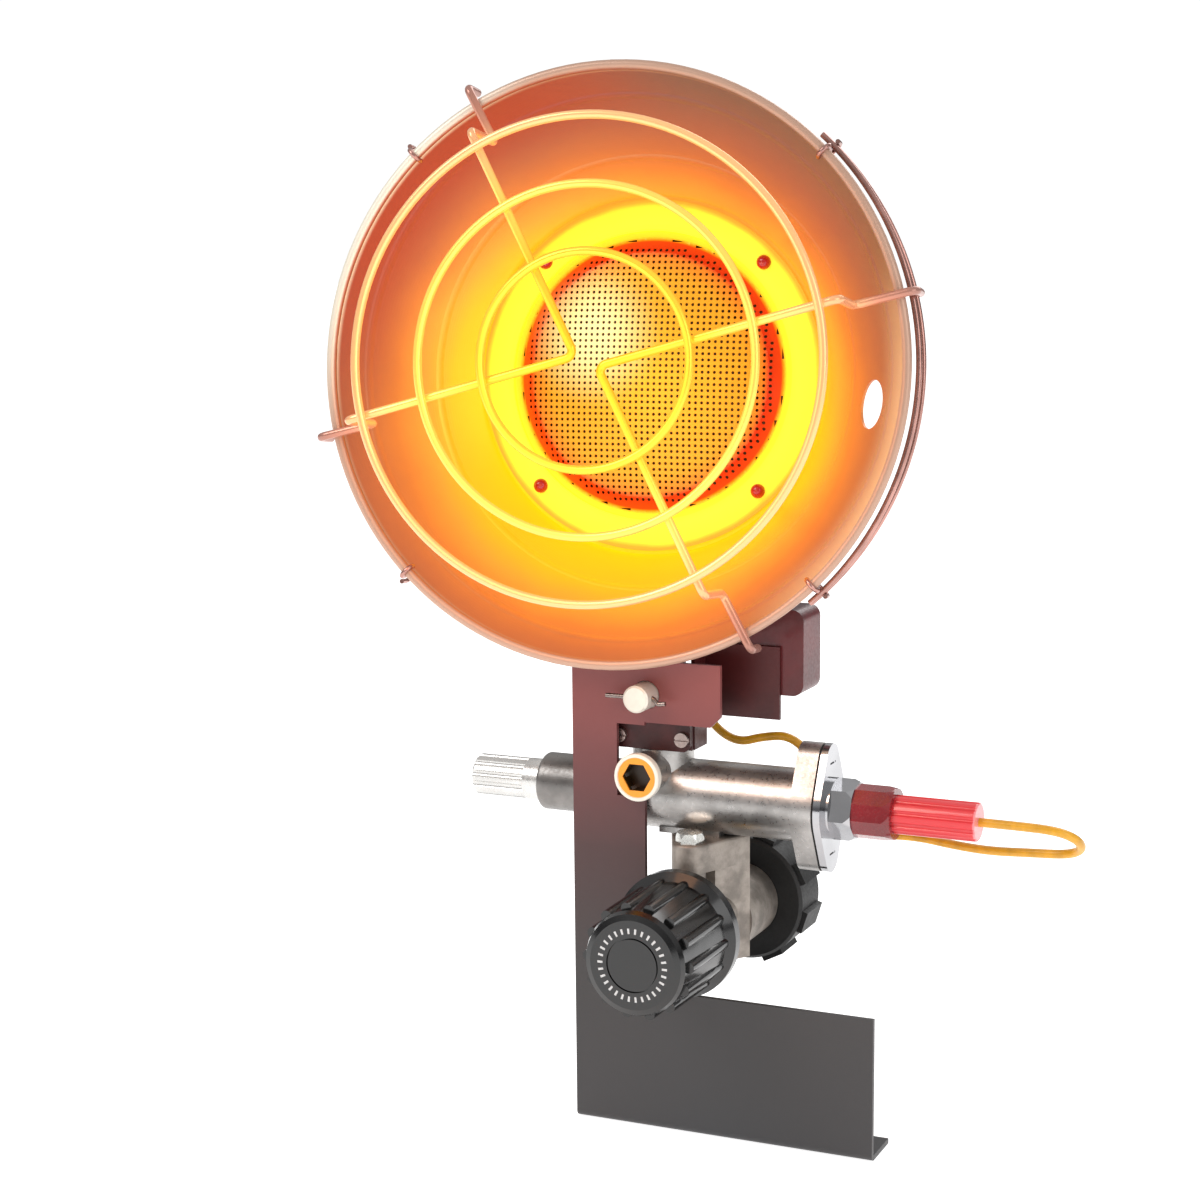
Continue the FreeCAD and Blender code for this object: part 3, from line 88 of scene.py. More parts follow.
class Shader:
    def __init__(self, tree):
        self.nodes = tree.nodes
        self.links = tree.links

    def add(self, kind, **values):
        node = self.nodes.new(kind)
        for key, value in values.items():
            setattr(node, key, value)
        return node

    def link(self, a, b):
        self.links.new(a, b)

    def put(self, socket, value):
        if isinstance(value, bpy.types.NodeSocket):
            self.links.new(value, socket)
        else:
            socket.default_value = value

    def math(self, operation, *values):
        node = self.add("ShaderNodeMath", operation=operation)
        for socket, value in zip(node.inputs, values):
            self.put(socket, value)
        return node.outputs[0]

    def vector(self, operation, *values):
        node = self.add("ShaderNodeVectorMath", operation=operation)
        for socket, value in zip(node.inputs, values):
            self.put(socket, value)
        return node.outputs["Value"] if operation in ("DOT_PRODUCT", "LENGTH") else node.outputs[0]

    def both(self, a, b):
        return self.math("MULTIPLY", a, b)

    def hypotenuse(self, x, y):
        return self.math("SQRT", self.math("ADD", self.both(x, x), self.both(y, y)))

    def millimetres(self, place, *axes):
        # a place's distance along each named axis, in mm
        split = self.add("ShaderNodeSeparateXYZ")
        self.link(place, split.inputs[0])
        return [self.both(split.outputs[axis], perMetre) for axis in axes]

    def toRange(self, value, low, high, start, end):
        node = self.add("ShaderNodeMapRange")
        for socket, item in zip(node.inputs, (value, low, high, start, end)):
            self.put(socket, item)
        return node.outputs[0]

    def step(self, value, low, high):
        node = self.add("ShaderNodeMapRange", interpolation_type="SMOOTHSTEP")
        for socket, item in zip(node.inputs, (value, low, high, 0.0, 1.0)):
            self.put(socket, item)
        return node.outputs[0]

    def mix(self, factor, a, b):
        node = self.add("ShaderNodeMix", data_type="RGBA")
        for index, item in ((0, factor), (6, a), (7, b)):
            self.put(node.inputs[index], item)
        return node.outputs[2]

    def ramp(self, value, low, high, stops):
        node = self.add("ShaderNodeValToRGB")
        band = node.color_ramp
        while len(band.elements) < len(stops):
            band.elements.new(0.5)
        for element, (place, color) in zip(band.elements, stops):
            element.position = (place - low) / (high - low)
            element.color = linear(color)
        self.link(self.toRange(value, low, high, 0.0, 1.0), node.inputs[0])
        return node.outputs[0]

    def noise(self, vector, scale, detail, roughness=0.55):
        node = self.add("ShaderNodeTexNoise")
        self.put(node.inputs["Vector"], vector)
        node.inputs["Scale"].default_value = scale
        node.inputs["Detail"].default_value = detail
        node.inputs["Roughness"].default_value = roughness
        return node.outputs[0]

    def bump(self, height, strength, distance=0.2 * mm):
        node = self.add("ShaderNodeBump")
        node.inputs["Strength"].default_value = strength
        node.inputs["Distance"].default_value = distance
        self.put(node.inputs["Height"], height)
        return node.outputs[0]

    def group(self, tree, **values):
        node = self.add("ShaderNodeGroup")
        node.node_tree = tree
        for key, value in values.items():
            self.put(node.inputs[key], value)
        return node


# Head frame: right, up and out of the dish, from its centre at the rim.
headSetup = {"yaw": 8.67, "pitch": 6.39, "centre": (-34.0, -69.2, 214.1)}


def makeHeadFrame(s):
    yaw = math.radians(s["yaw"])
    pitch = math.radians(s["pitch"])
    right = Vector((math.cos(yaw), math.sin(yaw), 0.0))
    out = Vector((math.sin(yaw) * math.cos(pitch), -math.cos(yaw) * math.cos(pitch), math.sin(pitch)))
    return right, out.cross(right), out, Vector(s["centre"]) * mm


headRight, headUp, headOut, headCentre = makeHeadFrame(headSetup)


def onHead(places):
    # centre + x right + y up + z out, for rows of x, y, z in mm
    return np.asarray(places) * mm @ np.array((headRight, headUp, headOut)) + np.array(headCentre)


def newGroup(name, inputs, outputs):
    tree = bpy.data.node_groups.new(name, "ShaderNodeTree")
    for label, kind in inputs:
        tree.interface.new_socket(name=label, in_out="INPUT", socket_type=kind)
    for label in outputs:
        tree.interface.new_socket(name=label, in_out="OUTPUT", socket_type="NodeSocketFloat")
    shader = Shader(tree)
    return tree, shader, shader.add("NodeGroupInput"), shader.add("NodeGroupOutput")


def makeHeadField():
    # radius = length of (right, up), in mm; cosine and sine are of the angle round the dish
    tree, s, start, end = newGroup("headField", [("Place", "NodeSocketVector")], ["Radius", "Cosine", "Sine"])
    local = s.vector("SUBTRACT", start.outputs[0], tuple(headCentre))
    x, y = [s.both(s.vector("DOT_PRODUCT", local, tuple(way)), perMetre) for way in (headRight, headUp)]
    radius = s.hypotenuse(x, y)
    safe = s.math("MAXIMUM", radius, mm)
    for socket, value in zip(end.inputs, (radius, s.math("DIVIDE", x, safe), s.math("DIVIDE", y, safe))):
        s.link(value, socket)
    return tree


wearLook = {
    "cloudDetail": 4.0, "grainScale": 14.0, "grainDetail": 3.0, "stretch": (3.0, 60.0, 60.0), "lineDetail": 2.0,
}


def makeWear(look):
    # cloud is a slow stain of 0 to 1, grain is a fine one, scratch is noise stretched along X
    tree, s, start, end = newGroup(
        "wear", [("Place", "NodeSocketVector"), ("Scale", "NodeSocketFloat")], ["Cloud", "Grain", "Scratch"])
    scaled = s.add("ShaderNodeVectorMath", operation="SCALE")
    s.link(start.outputs[0], scaled.inputs[0])
    s.link(start.outputs[1], scaled.inputs[3])
    stretched = s.vector("MULTIPLY", scaled.outputs[0], look["stretch"])
    s.link(s.noise(scaled.outputs[0], 1.0, look["cloudDetail"]), end.inputs[0])
    s.link(s.noise(scaled.outputs[0], look["grainScale"], look["grainDetail"]), end.inputs[1])
    s.link(s.noise(stretched, 1.0, look["lineDetail"]), end.inputs[2])
    return tree


headField = makeHeadField()
wearField = makeWear(wearLook)


def newMaterial(name):
    material = bpy.data.materials.new(name)
    material.use_nodes = True
    shader = Shader(material.node_tree)
    place = shader.add("ShaderNodeTexCoord").outputs["Object"]
    return material, shader, shader.nodes["Principled BSDF"].inputs, place


def wornMaterial(name, wearScale):
    material, shader, bsdf, place = newMaterial(name)
    return material, shader, bsdf, place, shader.group(wearField, Place=place, Scale=wearScale).outputs


# One general finish. tone is the base colour, vary its change by stains, grain and scratch the heights of the bump.
finishDefaults = {
    "scale": 60.0, "vary": 0.12, "metal": 0.0, "spread": 0.08, "grain": 0.5, "scratch": 0.0, "bump": 0.15,
    "noiseFrom": 0.3, "noiseTo": 0.7, "smoothest": 0.02, "coatRough": 0.08,
}


def makeFinish(name, look):
    s = {**finishDefaults, **look}
    material, shader, bsdf, place, wear = wornMaterial(name, s["scale"])
    low = linear([c * (1.0 - s["vary"]) for c in s["tone"]])
    high = linear([min(1.0, c * (1.0 + s["vary"])) for c in s["tone"]])
    color = shader.mix(shader.step(wear["Cloud"], s["noiseFrom"], s["noiseTo"]), low, high)
    if "dishLight" in s:
        # painted red light from the dish's glow: 0 at the low height, 1 at the high height
        height, = shader.millimetres(place, "Z")
        color = shader.mix(shader.step(height, s["dishLightLow"], s["dishLightHigh"]), color, linear(s["dishLight"]))
    shader.link(color, bsdf["Base Color"])
    bsdf["Metallic"].default_value = s["metal"]
    smooth = max(s["smoothest"], s["rough"] - s["spread"])
    rough = min(1.0, s["rough"] + s["spread"])
    shader.link(shader.toRange(wear["Grain"], s["noiseFrom"], s["noiseTo"], smooth, rough), bsdf["Roughness"])
    relief = shader.math("ADD", shader.both(wear["Grain"], s["grain"]), shader.both(wear["Scratch"], s["scratch"]))
    shader.link(shader.bump(relief, s["bump"]), bsdf["Normal"])
    if "coat" in s:
        bsdf["Coat Weight"].default_value = s["coat"]
        bsdf["Coat Roughness"].default_value = s["coatRough"]
    return material


def paint(material, *names):
    for name in names:
        piece = nodes[name]
        if not piece.material_slots:
            piece.data.materials.append(material)
        for holder in piece.material_slots:
            holder.material = material


def addMesh(name, vertices, faces, material, smooth=True):
    data = bpy.data.meshes.new(name)
    data.from_pydata(np.asarray(vertices).tolist(), [], faces)
    data.materials.append(material)
    data.polygons.foreach_set("use_smooth", [smooth] * len(data.polygons))
    data.validate()
    data.update()
    piece = bpy.data.objects.new(name, data)
    bpy.context.scene.collection.objects.link(piece)
    return piece


# The yellow lead, as one smooth line through the air from the red connector round to the tilt switch.
leadRoute = [
    (101.1, -52.5, 49.3), (118.0, -52.5, 49.3), (135.1, -52.5, 49.0), (141.9, -47.1, 44.9),
    (141.9, -39.5, 39.3), (135.2, -34.2, 35.3), (120.5, -33.6, 34.4), (105.5, -34.6, 33.8),
    (91.0, -34.2, 34.6), (77.0, -32.9, 36.0), (63.5, -32.9, 35.6), (50.5, -31.8, 34.3),
    (41.0, -30.0, 39.5), (37.0, -29.5, 50.5), (33.0, -30.0, 62.0), (24.0, -31.0, 70.8),
    (13.0, -32.5, 69.8), (3.0, -34.0, 66.8), (-7.0, -34.5, 72.5), (-12.5, -35.5, 83.0),
    (-11.0, -36.6, 93.5), (-3.5, -37.8, 100.0), (7.1, -37.8, 100.0),
]
leadLook = {
    "radius": 1.7, "runSteps": 12, "roundSteps": 5,
    "finish": {"tone": (0.86, 0.62, 0.1), "rough": 0.38, "vary": 0.06, "bump": 0.08, "coat": 0.25, "scale": 200.0},
}


def makeLead(s):
    data = bpy.data.curves.new("yellowLead", "CURVE")
    data.dimensions = "3D"
    line = data.splines.new("NURBS")
    line.points.add(len(leadRoute) - 1)
    for point, place in zip(line.points, leadRoute):
        point.co = (*(Vector(place) * mm), 1.0)
    line.order_u = 3
    line.use_endpoint_u = True
    line.resolution_u = s["runSteps"]
    data.bevel_depth = s["radius"] * mm
    data.bevel_resolution = s["roundSteps"]
    data.use_fill_caps = True
    data.materials.append(makeFinish("leadInsulation", s["finish"]))
    lead = bpy.data.objects.new("yellowLead", data)
    bpy.context.scene.collection.objects.link(lead)
    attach(lead, root)
    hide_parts("switch_lead")


makeLead(leadLook)
print("stage lead")


# Painted glow on the dish: colours by radius in mm and by the angle round it, standing in for the burner's light
# reflected in the steel. Angles are from the right, upwards.
dishLook = {
    "dimSide": 62.0, "shift": 11.0, "stain": 6.0, "stainBase": -5.0, "wearScale": 25.0,
    "low": 60.0, "high": 118.0,
    "ramp": [
        (60.0, (1.0, 0.84, 0.05)), (72.0, (1.0, 0.78, 0.14)), (80.0, (0.95, 0.67, 0.24)),
        (88.0, (0.84, 0.53, 0.25)), (95.0, (0.73, 0.45, 0.29)), (102.0, (0.64, 0.40, 0.32)),
        (110.0, (0.56, 0.38, 0.34)), (118.0, (0.48, 0.37, 0.36))],
    "red": (0.68, 0.26, 0.18), "redSide": 135.0, "redSpread": 0.5, "redFrom": 90.0, "redTo": 106.0,
    "peach": (0.92, 0.84, 0.74), "peachSide": -20.0, "peachSpread": 0.7, "peachFrom": 97.0, "peachTo": 112.0,
    "tint": 0.75,
    "rim": (0.72, 0.58, 0.5), "cream": (0.9, 0.87, 0.8), "creamSide": 150.0, "creamSpread": 0.7,
    "rimFrom": 109.4, "rimTo": 110.4,
    "back": (0.36, 0.31, 0.29), "backFrom": 109.0, "backTo": 110.5, "edgeOn": 0.05,
    "glow": 0.3, "glowFull": 70.0, "glowNone": 125.0, "glowCut": 0.55, "metal": 0.35, "rough": 0.36,
    "swages": (84.0, 103.0), "swageOuter": 1.2, "swageInner": 0.2, "spinPitch": 9.0, "spinHeight": 0.02,
    "relief": 0.5, "reliefDepth": 0.6,
}


def aroundMask(shader, field, degrees, low):
    # cos(angle - degrees) from its parts, then stepped from low to 1
    turn = math.radians(degrees)
    part = shader.both(field["Cosine"], math.cos(turn))
    return shader.step(shader.math("MULTIPLY_ADD", field["Sine"], math.sin(turn), part), low, 1.0)


def makeDishMaterial(s):
    material, shader, bsdf, place, wear = wornMaterial("reflectorSteel", s["wearScale"])
    field = shader.group(headField, Place=place).outputs
    radius = field["Radius"]
    # shifted radius = radius + shift cos(angle - the dim side), so that the painted glow is dimmer towards the top
    # right
    turn = math.radians(s["dimSide"])
    part = shader.both(field["Cosine"], s["shift"] * math.cos(turn))
    shift = shader.math("MULTIPLY_ADD", field["Sine"], s["shift"] * math.sin(turn), part)
    cloud = shader.math("MULTIPLY_ADD", wear["Cloud"], s["stain"], s["stainBase"])
    shifted = shader.math("ADD", shader.math("ADD", radius, shift), cloud)
    color = shader.ramp(shifted, s["low"], s["high"], s["ramp"])
    # painted reflection tints over the painted glow: red at the upper left, peach at the right
    for tint in ("red", "peach"):
        share = shader.both(aroundMask(shader, field, s[tint + "Side"], s[tint + "Spread"]),
                            shader.step(radius, s[tint + "From"], s[tint + "To"]))
        color = shader.mix(shader.both(share, s["tint"]), color, linear(s[tint]))
    # painted highlight: the rim is a paler cream at its left side
    cream = aroundMask(shader, field, s["creamSide"], s["creamSpread"])
    rimColor = shader.mix(cream, linear(s["rim"]), linear(s["cream"]))
    color = shader.mix(shader.step(radius, s["rimFrom"], s["rimTo"]), color, rimColor)
    # the back of the dish is plain heated steel; the inside faces out of the dish
    normal = shader.add("ShaderNodeNewGeometry").outputs["Normal"]
    facing = shader.vector("DOT_PRODUCT", normal, tuple(headOut))
    inside = shader.math("MAXIMUM", shader.step(facing, -s["edgeOn"], s["edgeOn"]),
                         shader.step(radius, s["backFrom"], s["backTo"]))
    color = shader.mix(inside, linear(s["back"]), color)
    shader.link(color, bsdf["Base Color"])
    # painted glow: the inside's colour again as emission, none on the back, falling to under half of it towards the
    # outer wall
    glow = shader.mix(inside, black, color)
    fade = shader.step(shifted, s["glowNone"], s["glowFull"])
    glow = shader.mix(fade, shader.mix(s["glowCut"], glow, black), glow)
    shader.link(glow, bsdf["Emission Color"])
    bsdf["Emission Strength"].default_value = s["glow"]
    bsdf["Metallic"].default_value = s["metal"]
    bsdf["Roughness"].default_value = s["rough"]
    # two swaged rings in the wall, and fine spinning marks round the axis
    swages = [shader.step(shader.math("ABSOLUTE", shader.math("SUBTRACT", radius, swage)), s["swageOuter"],
                          s["swageInner"]) for swage in s["swages"]]
    spin = shader.both(shader.math("SINE", shader.both(radius, s["spinPitch"])), s["spinHeight"])
    height = shader.math("ADD", shader.math("ADD", *swages), spin)
    shader.link(shader.bump(height, s["relief"], s["reliefDepth"] * mm), bsdf["Normal"])
    return material


paint(makeDishMaterial(dishLook), "reflector_dish")
print("stage dish")

# Guard and burner parts, with a painted glow of the burner's light. Its colours go by radius, from low to high in
# mm.
guardLook = {
    "low": 0.0, "high": 120.0, "glow": 0.3, "metal": 0.5, "rough": 0.22, "stain": 4.0,
    "ramp": [
        (0.0, (1.0, 0.74, 0.12)), (44.0, (1.0, 0.78, 0.22)), (66.0, (1.0, 0.82, 0.38)),
        (90.0, (0.96, 0.72, 0.5)), (104.0, (0.78, 0.52, 0.42)), (119.0, (0.6, 0.44, 0.4))],
}
ringLook = {
    "low": 50.0, "high": 72.0, "glow": 0.42, "metal": 0.0, "rough": 0.45, "stain": 2.0,
    "ramp": [
        (50.0, (1.0, 0.88, 0.08)), (60.0, (1.0, 0.95, 0.2)), (66.5, (1.0, 0.92, 0.18)),
        (68.6, (0.93, 0.66, 0.12)), (72.0, (0.9, 0.6, 0.1))],
}
glowWear = {"scale": 40.0, "bump": 0.1}


def makePaintedGlow(name, s):
    # painted glow: colour by radius standing in for the burner's light, with a little stain; the glow is the colour
    # again as emission at a fixed strength
    material, shader, bsdf, place, wear = wornMaterial(name, glowWear["scale"])
    radius = shader.group(headField, Place=place).outputs["Radius"]
    stain = shader.math("MULTIPLY_ADD", wear["Cloud"], s["stain"], -0.5 * s["stain"])
    color = shader.ramp(shader.math("ADD", radius, stain), s["low"], s["high"], s["ramp"])
    shader.link(color, bsdf["Base Color"])
    shader.link(color, bsdf["Emission Color"])
    bsdf["Emission Strength"].default_value = s["glow"]
    bsdf["Metallic"].default_value = s["metal"]
    bsdf["Roughness"].default_value = s["rough"]
    shader.link(shader.bump(wear["Grain"], glowWear["bump"]), bsdf["Normal"])
    return material


paint(makePaintedGlow("guardWire", guardLook),
      "guard_ring_small", "guard_ring_middle", "guard_ring_large", "guard_vee_left", "guard_vee_right")
paint(makePaintedGlow("burnerRing", ringLook), "burner_ring")
print("stage guard and ring")

# Burner screen: a domed sheet with real round holes on a square grid. Lengths are in mm, in the head's frame.
screenLook = {
    "pitch": 2.4, "hole": 0.66, "holesTo": 51.5, "gridTo": 57.0, "stepOuter": 54.0, "stepInner": 48.5,
    "stepRise": 4.5, "crown": 5.0, "floor": -58.1, "thick": 0.8, "edge": 69.0, "holeSides": 8,
    "flangeSides": 96, "flangeLap": 0.25, "flangeLift": 0.01,
    "low": 0.0, "high": 60.0,
    "ramp": [
        (0.0, (0.93, 0.70, 0.16)), (40.0, (0.90, 0.62, 0.10)), (46.5, (0.92, 0.50, 0.08)),
        (49.0, (0.82, 0.20, 0.04)), (53.0, (0.86, 0.26, 0.05)), (55.0, (1.0, 0.88, 0.12)),
        (60.0, (1.0, 0.96, 0.2))],
    "highlight": (1.0, 0.97, 0.7), "highlightPlace": (-22.0, 15.0, -50.0), "highlightFrom": 30.0, "highlightTo": 4.0, "highlightShare": 0.85,
    "glow": 0.36, "metal": 0.3, "rough": 0.34,
}


def screenHeight(s, r):
    # sphere of radius (a^2 + c^2) / 2c over the middle, a cone down to the flange, then flat
    sphere = (s["stepInner"] ** 2 + s["crown"] ** 2) / (2.0 * s["crown"])
    dome = np.sqrt(np.maximum(sphere ** 2 - r ** 2, 0.0)) - (sphere - s["crown"])
    slope = (s["stepOuter"] - r) / (s["stepOuter"] - s["stepInner"])
    return np.where(r < s["stepInner"], s["stepRise"] + dome, s["stepRise"] * np.clip(slope, 0.0, 1.0))


def makeScreenMaterial(s):
    material, shader, bsdf, place = newMaterial("burnerScreen")
    radius = shader.group(headField, Place=place).outputs["Radius"]
    # colour by radius; the red band between about 48 and 54 mm, over the step's sloping wall, is painted shade
    color = shader.ramp(radius, s["low"], s["high"], s["ramp"])
    # a painted highlight at the upper left of the middle
    away = shader.vector("LENGTH", shader.vector("SUBTRACT", place, tuple(onHead(s["highlightPlace"]))))
    highlight = shader.step(away, s["highlightFrom"] * mm, s["highlightTo"] * mm)
    color = shader.mix(shader.both(highlight, s["highlightShare"]), color, linear(s["highlight"]))
    shader.link(color, bsdf["Base Color"])
    # painted glow: the colour again as emission at a fixed strength
    shader.link(color, bsdf["Emission Color"])
    bsdf["Emission Strength"].default_value = s["glow"]
    bsdf["Metallic"].default_value = s["metal"]
    bsdf["Roughness"].default_value = s["rough"]
    return material


def makeScreenCells(s):
    # each cell is a square with a round hole in it, above and below, both bent to the screen's height
    count = int(s["gridTo"] / s["pitch"]) + 1
    middles = (np.arange(-count, count + 1) + 0.5) * s["pitch"]
    grid = np.stack(np.meshgrid(middles, middles), axis=-1).reshape(-1, 2)
    grid = grid[np.hypot(*grid.T) < s["gridTo"] - s["pitch"]]
    sides = s["holeSides"]
    turn = 2.0 * np.pi * np.arange(sides) / sides
    circle = np.stack([np.cos(turn), np.sin(turn)], axis=1)
    square = s["pitch"] / 2.0 * np.clip(circle * math.sqrt(2.0), -1.0, 1.0)
    flat = grid[:, None, :] + np.concatenate([square, s["hole"] * circle])
    height = s["floor"] + screenHeight(s, np.hypot(flat[..., 0], flat[..., 1]))
    upper = np.concatenate([flat, (height + s["thick"])[..., None]], axis=2)
    lower = np.concatenate([flat, height[..., None]], axis=2)
    vertices = np.concatenate([upper, lower], axis=1).reshape(-1, 3)
    i = np.arange(sides)
    j = (i + 1) % sides
    top = np.stack([i, j, sides + j, sides + i], axis=1)
    bottom = 2 * sides + top[:, [1, 0, 3, 2]]
    wall = np.stack([sides + i, sides + j, 3 * sides + j, 3 * sides + i], axis=1)
    lids = np.stack([sides + i, 3 * sides + i[::-1]])
    start = 4 * sides * np.arange(len(grid))[:, None, None]
    holed = np.hypot(*grid.T) < s["holesTo"]
    faces = (start + np.concatenate([top, bottom])).reshape(-1, 4).tolist()
    faces += (start[holed] + wall).reshape(-1, 4).tolist()
    faces += (start[~holed] + lids).reshape(-1, sides).tolist()
    return vertices, faces


def makeScreenFlange(s, first):
    # flat flange, a hair above and below the grid's flat part, with its edge closed
    inner = s["stepOuter"] + s["flangeLap"]
    above = s["thick"] + s["flangeLift"]
    below = -s["flangeLift"]
    outline = np.array([(inner, above), (s["edge"], above), (s["edge"], below), (inner, below)])
    turn = 2.0 * np.pi * np.arange(s["flangeSides"])[:, None] / s["flangeSides"]
    radius = outline[:, 0]
    level = s["floor"] + outline[:, 1] + 0.0 * turn
    vertices = np.stack([radius * np.cos(turn), radius * np.sin(turn), level], axis=2).reshape(-1, 3)
    i, k = np.meshgrid(np.arange(s["flangeSides"]), np.arange(len(outline)), indexing="ij")
    here = first + len(outline) * i
    ahead = first + len(outline) * ((i + 1) % s["flangeSides"])
    m = (k + 1) % len(outline)
    return vertices, np.stack([here + k, here + m, ahead + m, ahead + k], axis=2).reshape(-1, 4).tolist()


def makeScreen(s):
    vertices, faces = makeScreenCells(s)
    flangeVertices, flangeFaces = makeScreenFlange(s, len(vertices))
    places = onHead(np.concatenate([vertices, flangeVertices]))
    screen = addMesh("burnerScreenSheet", places, faces + flangeFaces, makeScreenMaterial(s), smooth=False)
    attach(screen, root)
    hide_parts("burner_screen")


makeScreen(screenLook)
print("stage screen")

# Plain painted and plated parts: each finish, and the nodes that have it
finishes = {
    "sideWire": ({"tone": (0.72, 0.54, 0.5), "rough": 0.22, "metal": 0.85, "vary": 0.1, "bump": 0.05},
                 ("guard_side_wire_front", "guard_side_wire_rear", "rim_clips")),
    "burnerRivets": ({"tone": (0.74, 0.09, 0.04), "rough": 0.25, "vary": 0.1, "coat": 0.5, "bump": 0.05},
                     ("burner_rivets",)),
    "burnerCup": ({"tone": (0.42, 0.36, 0.33), "rough": 0.45, "metal": 0.8, "vary": 0.2, "scale": 30.0},
                  ("burner_cup", "burner_baffle")),
    # the neck parts' maroon tone is painted red light from the dish, with more of it higher up
    "neckSteel": ({"tone": (0.25, 0.10, 0.10), "rough": 0.42, "metal": 0.2, "vary": 0.2, "dishLight": (0.36, 0.1, 0.1),
                   "dishLightLow": 70.0, "dishLightHigh": 130.0},
                  ("mixer_tube", "neck_clamp", "head_bracket", "switch_strap")),
    "jetBrass": ({"tone": (0.78, 0.6, 0.3), "rough": 0.28, "metal": 1.0, "scratch": 0.4},
                 ("gas_jet", "tilt_pendulum", "tilt_contacts", "outlet_pipe", "control_stem", "stem_gland",
                  "inlet_nipple")),
    "smallScrews": ({"tone": (0.62, 0.56, 0.54), "rough": 0.3, "metal": 0.9},
                    ("clamp_screws", "tilt_lid_screws", "pivot_pin")),
    "studMetal": ({"tone": (0.9, 0.88, 0.83), "rough": 0.4, "metal": 0.35, "vary": 0.05}, ("bracket_stud",)),
    "clipWire": ({"tone": (0.55, 0.5, 0.48), "rough": 0.22, "metal": 0.9}, ("retaining_clip",)),
    # the tilt switch case's maroon tone is painted red light from the dish
    "tiltCase": ({"tone": (0.35, 0.07, 0.085), "rough": 0.42, "coat": 0.15},
                 ("tilt_switch_case", "tilt_switch_lid")),
    "valveNickel": ({"tone": (0.66, 0.65, 0.64), "rough": 0.33, "metal": 0.9, "scratch": 0.6, "bump": 0.12},
                    ("valve_body",)),
    "gasketRubber": ({"tone": (0.06, 0.06, 0.06), "rough": 0.75},
                     ("flange_gasket", "plunger_seal", "diaphragm", "stem_seal", "nipple_seal")),
    "polishedChrome": ({"tone": (0.7, 0.7, 0.71), "rough": 0.1, "spread": 0.04, "metal": 1.0, "bump": 0.03,
                        "vary": 0.03}, ("end_plate", "flange_screws", "outlet_nut")),
    "magnetSteel": ({"tone": (0.62, 0.62, 0.64), "rough": 0.3, "metal": 1.0},
                    ("magnet_unit", "valve_plunger", "button_spring", "diaphragm_plate", "diaphragm_spring")),
    "collarPlastic": ({"tone": (0.5, 0.09, 0.12), "rough": 0.25, "vary": 0.1, "coat": 0.5}, ("connector_collar",)),
    "guideMetal": ({"tone": (0.5, 0.49, 0.48), "rough": 0.35, "metal": 0.85, "scratch": 0.5},
                   ("push_button_guide",)),
    "buttonMetal": ({"tone": (0.86, 0.86, 0.85), "rough": 0.28, "metal": 0.75, "vary": 0.05, "scratch": 0.4},
                    ("push_button",)),
    "regulatorZinc": ({"tone": (0.58, 0.55, 0.52), "rough": 0.5, "metal": 0.75, "vary": 0.14, "grain": 1.2,
                       "bump": 0.4, "scale": 120.0}, ("regulator_body", "regulator_cover")),
    "boltZinc": ({"tone": (0.82, 0.82, 0.8), "rough": 0.25, "metal": 0.95}, ("cover_bolts",)),
    "nutPlastic": ({"tone": (0.075, 0.075, 0.075), "rough": 0.55, "grain": 1.0, "bump": 0.25}, ("coupling_nut",)),
}
for name, (look, members) in finishes.items():
    paint(makeFinish(name, look), *members)
print("stage finishes")

# The push button's return spring. Lengths are in mm.
springLook = {"wire": 0.5, "coil": 5.7, "turns": 7, "steps": 24, "sides": 8, "fixedEnd": -44.5, "travel": 6.0}


def makeSpring(s):
    # tube round a helix: x grows evenly with the turn, and the circle stands square to the line
    low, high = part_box("button_spring")
    start = low[0] / mm + s["wire"]
    stop = high[0] / mm - s["wire"]
    middle = np.array([0.0, (low[1] + high[1]) / 2.0, (low[2] + high[2]) / 2.0]) / mm
    share = np.linspace(0.0, 1.0, s["turns"] * s["steps"] + 1)
    angle = 2.0 * np.pi * s["turns"] * share
    outward = np.stack([0.0 * angle, np.cos(angle), np.sin(angle)], axis=1)
    rise = (stop - start) / (2.0 * np.pi * s["turns"])
    along = np.stack([rise + 0.0 * angle, -s["coil"] * np.sin(angle), s["coil"] * np.cos(angle)], axis=1)
    along /= np.linalg.norm(along, axis=1)[:, None]
    side = np.cross(along, outward)
    line = middle + outward * s["coil"]
    line[:, 0] = start + (stop - start) * share
    turn = 2.0 * np.pi * np.arange(s["sides"])[None, :, None] / s["sides"]
    circle = np.cos(turn) * outward[:, None, :] + np.sin(turn) * side[:, None, :]
    places = (line[:, None, :] + s["wire"] * circle).reshape(-1, 3) * mm
    i, j = np.meshgrid(np.arange(len(share) - 1), np.arange(s["sides"]), indexing="ij")
    here = i * s["sides"]
    ahead = here + s["sides"]
    k = (j + 1) % s["sides"]
    quads = np.stack([here + j, here + k, ahead + k, ahead + j], axis=-1).reshape(-1, 4)
    rim = np.arange(s["sides"])
    ends = [rim[::-1].tolist(), ((len(share) - 1) * s["sides"] + rim).tolist()]
    steel = nodes["button_spring"].material_slots[0].material
    spring = addMesh("buttonSpringWire", places, quads.tolist() + ends, steel)
    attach(spring, root)
    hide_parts("button_spring")
    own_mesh(spring)


makeSpring(springLook)
print("stage spring")

# Finishes of their own. Places are in mm.
bracketLook = {
    "low": -82.0, "high": 104.0,
    "stops": [(-82.0, (0.235, 0.23, 0.235)), (-20.0, (0.245, 0.235, 0.235)), (30.0, (0.31, 0.22, 0.22)),
              (70.0, (0.46, 0.26, 0.26)), (104.0, (0.56, 0.3, 0.29))],
    "stain": 14.0, "wearScale": 35.0, "metal": 0.15, "smooth": 0.38, "rough": 0.52,
    "peelScale": 900.0, "peelDetail": 2.0, "peel": 0.12,
}


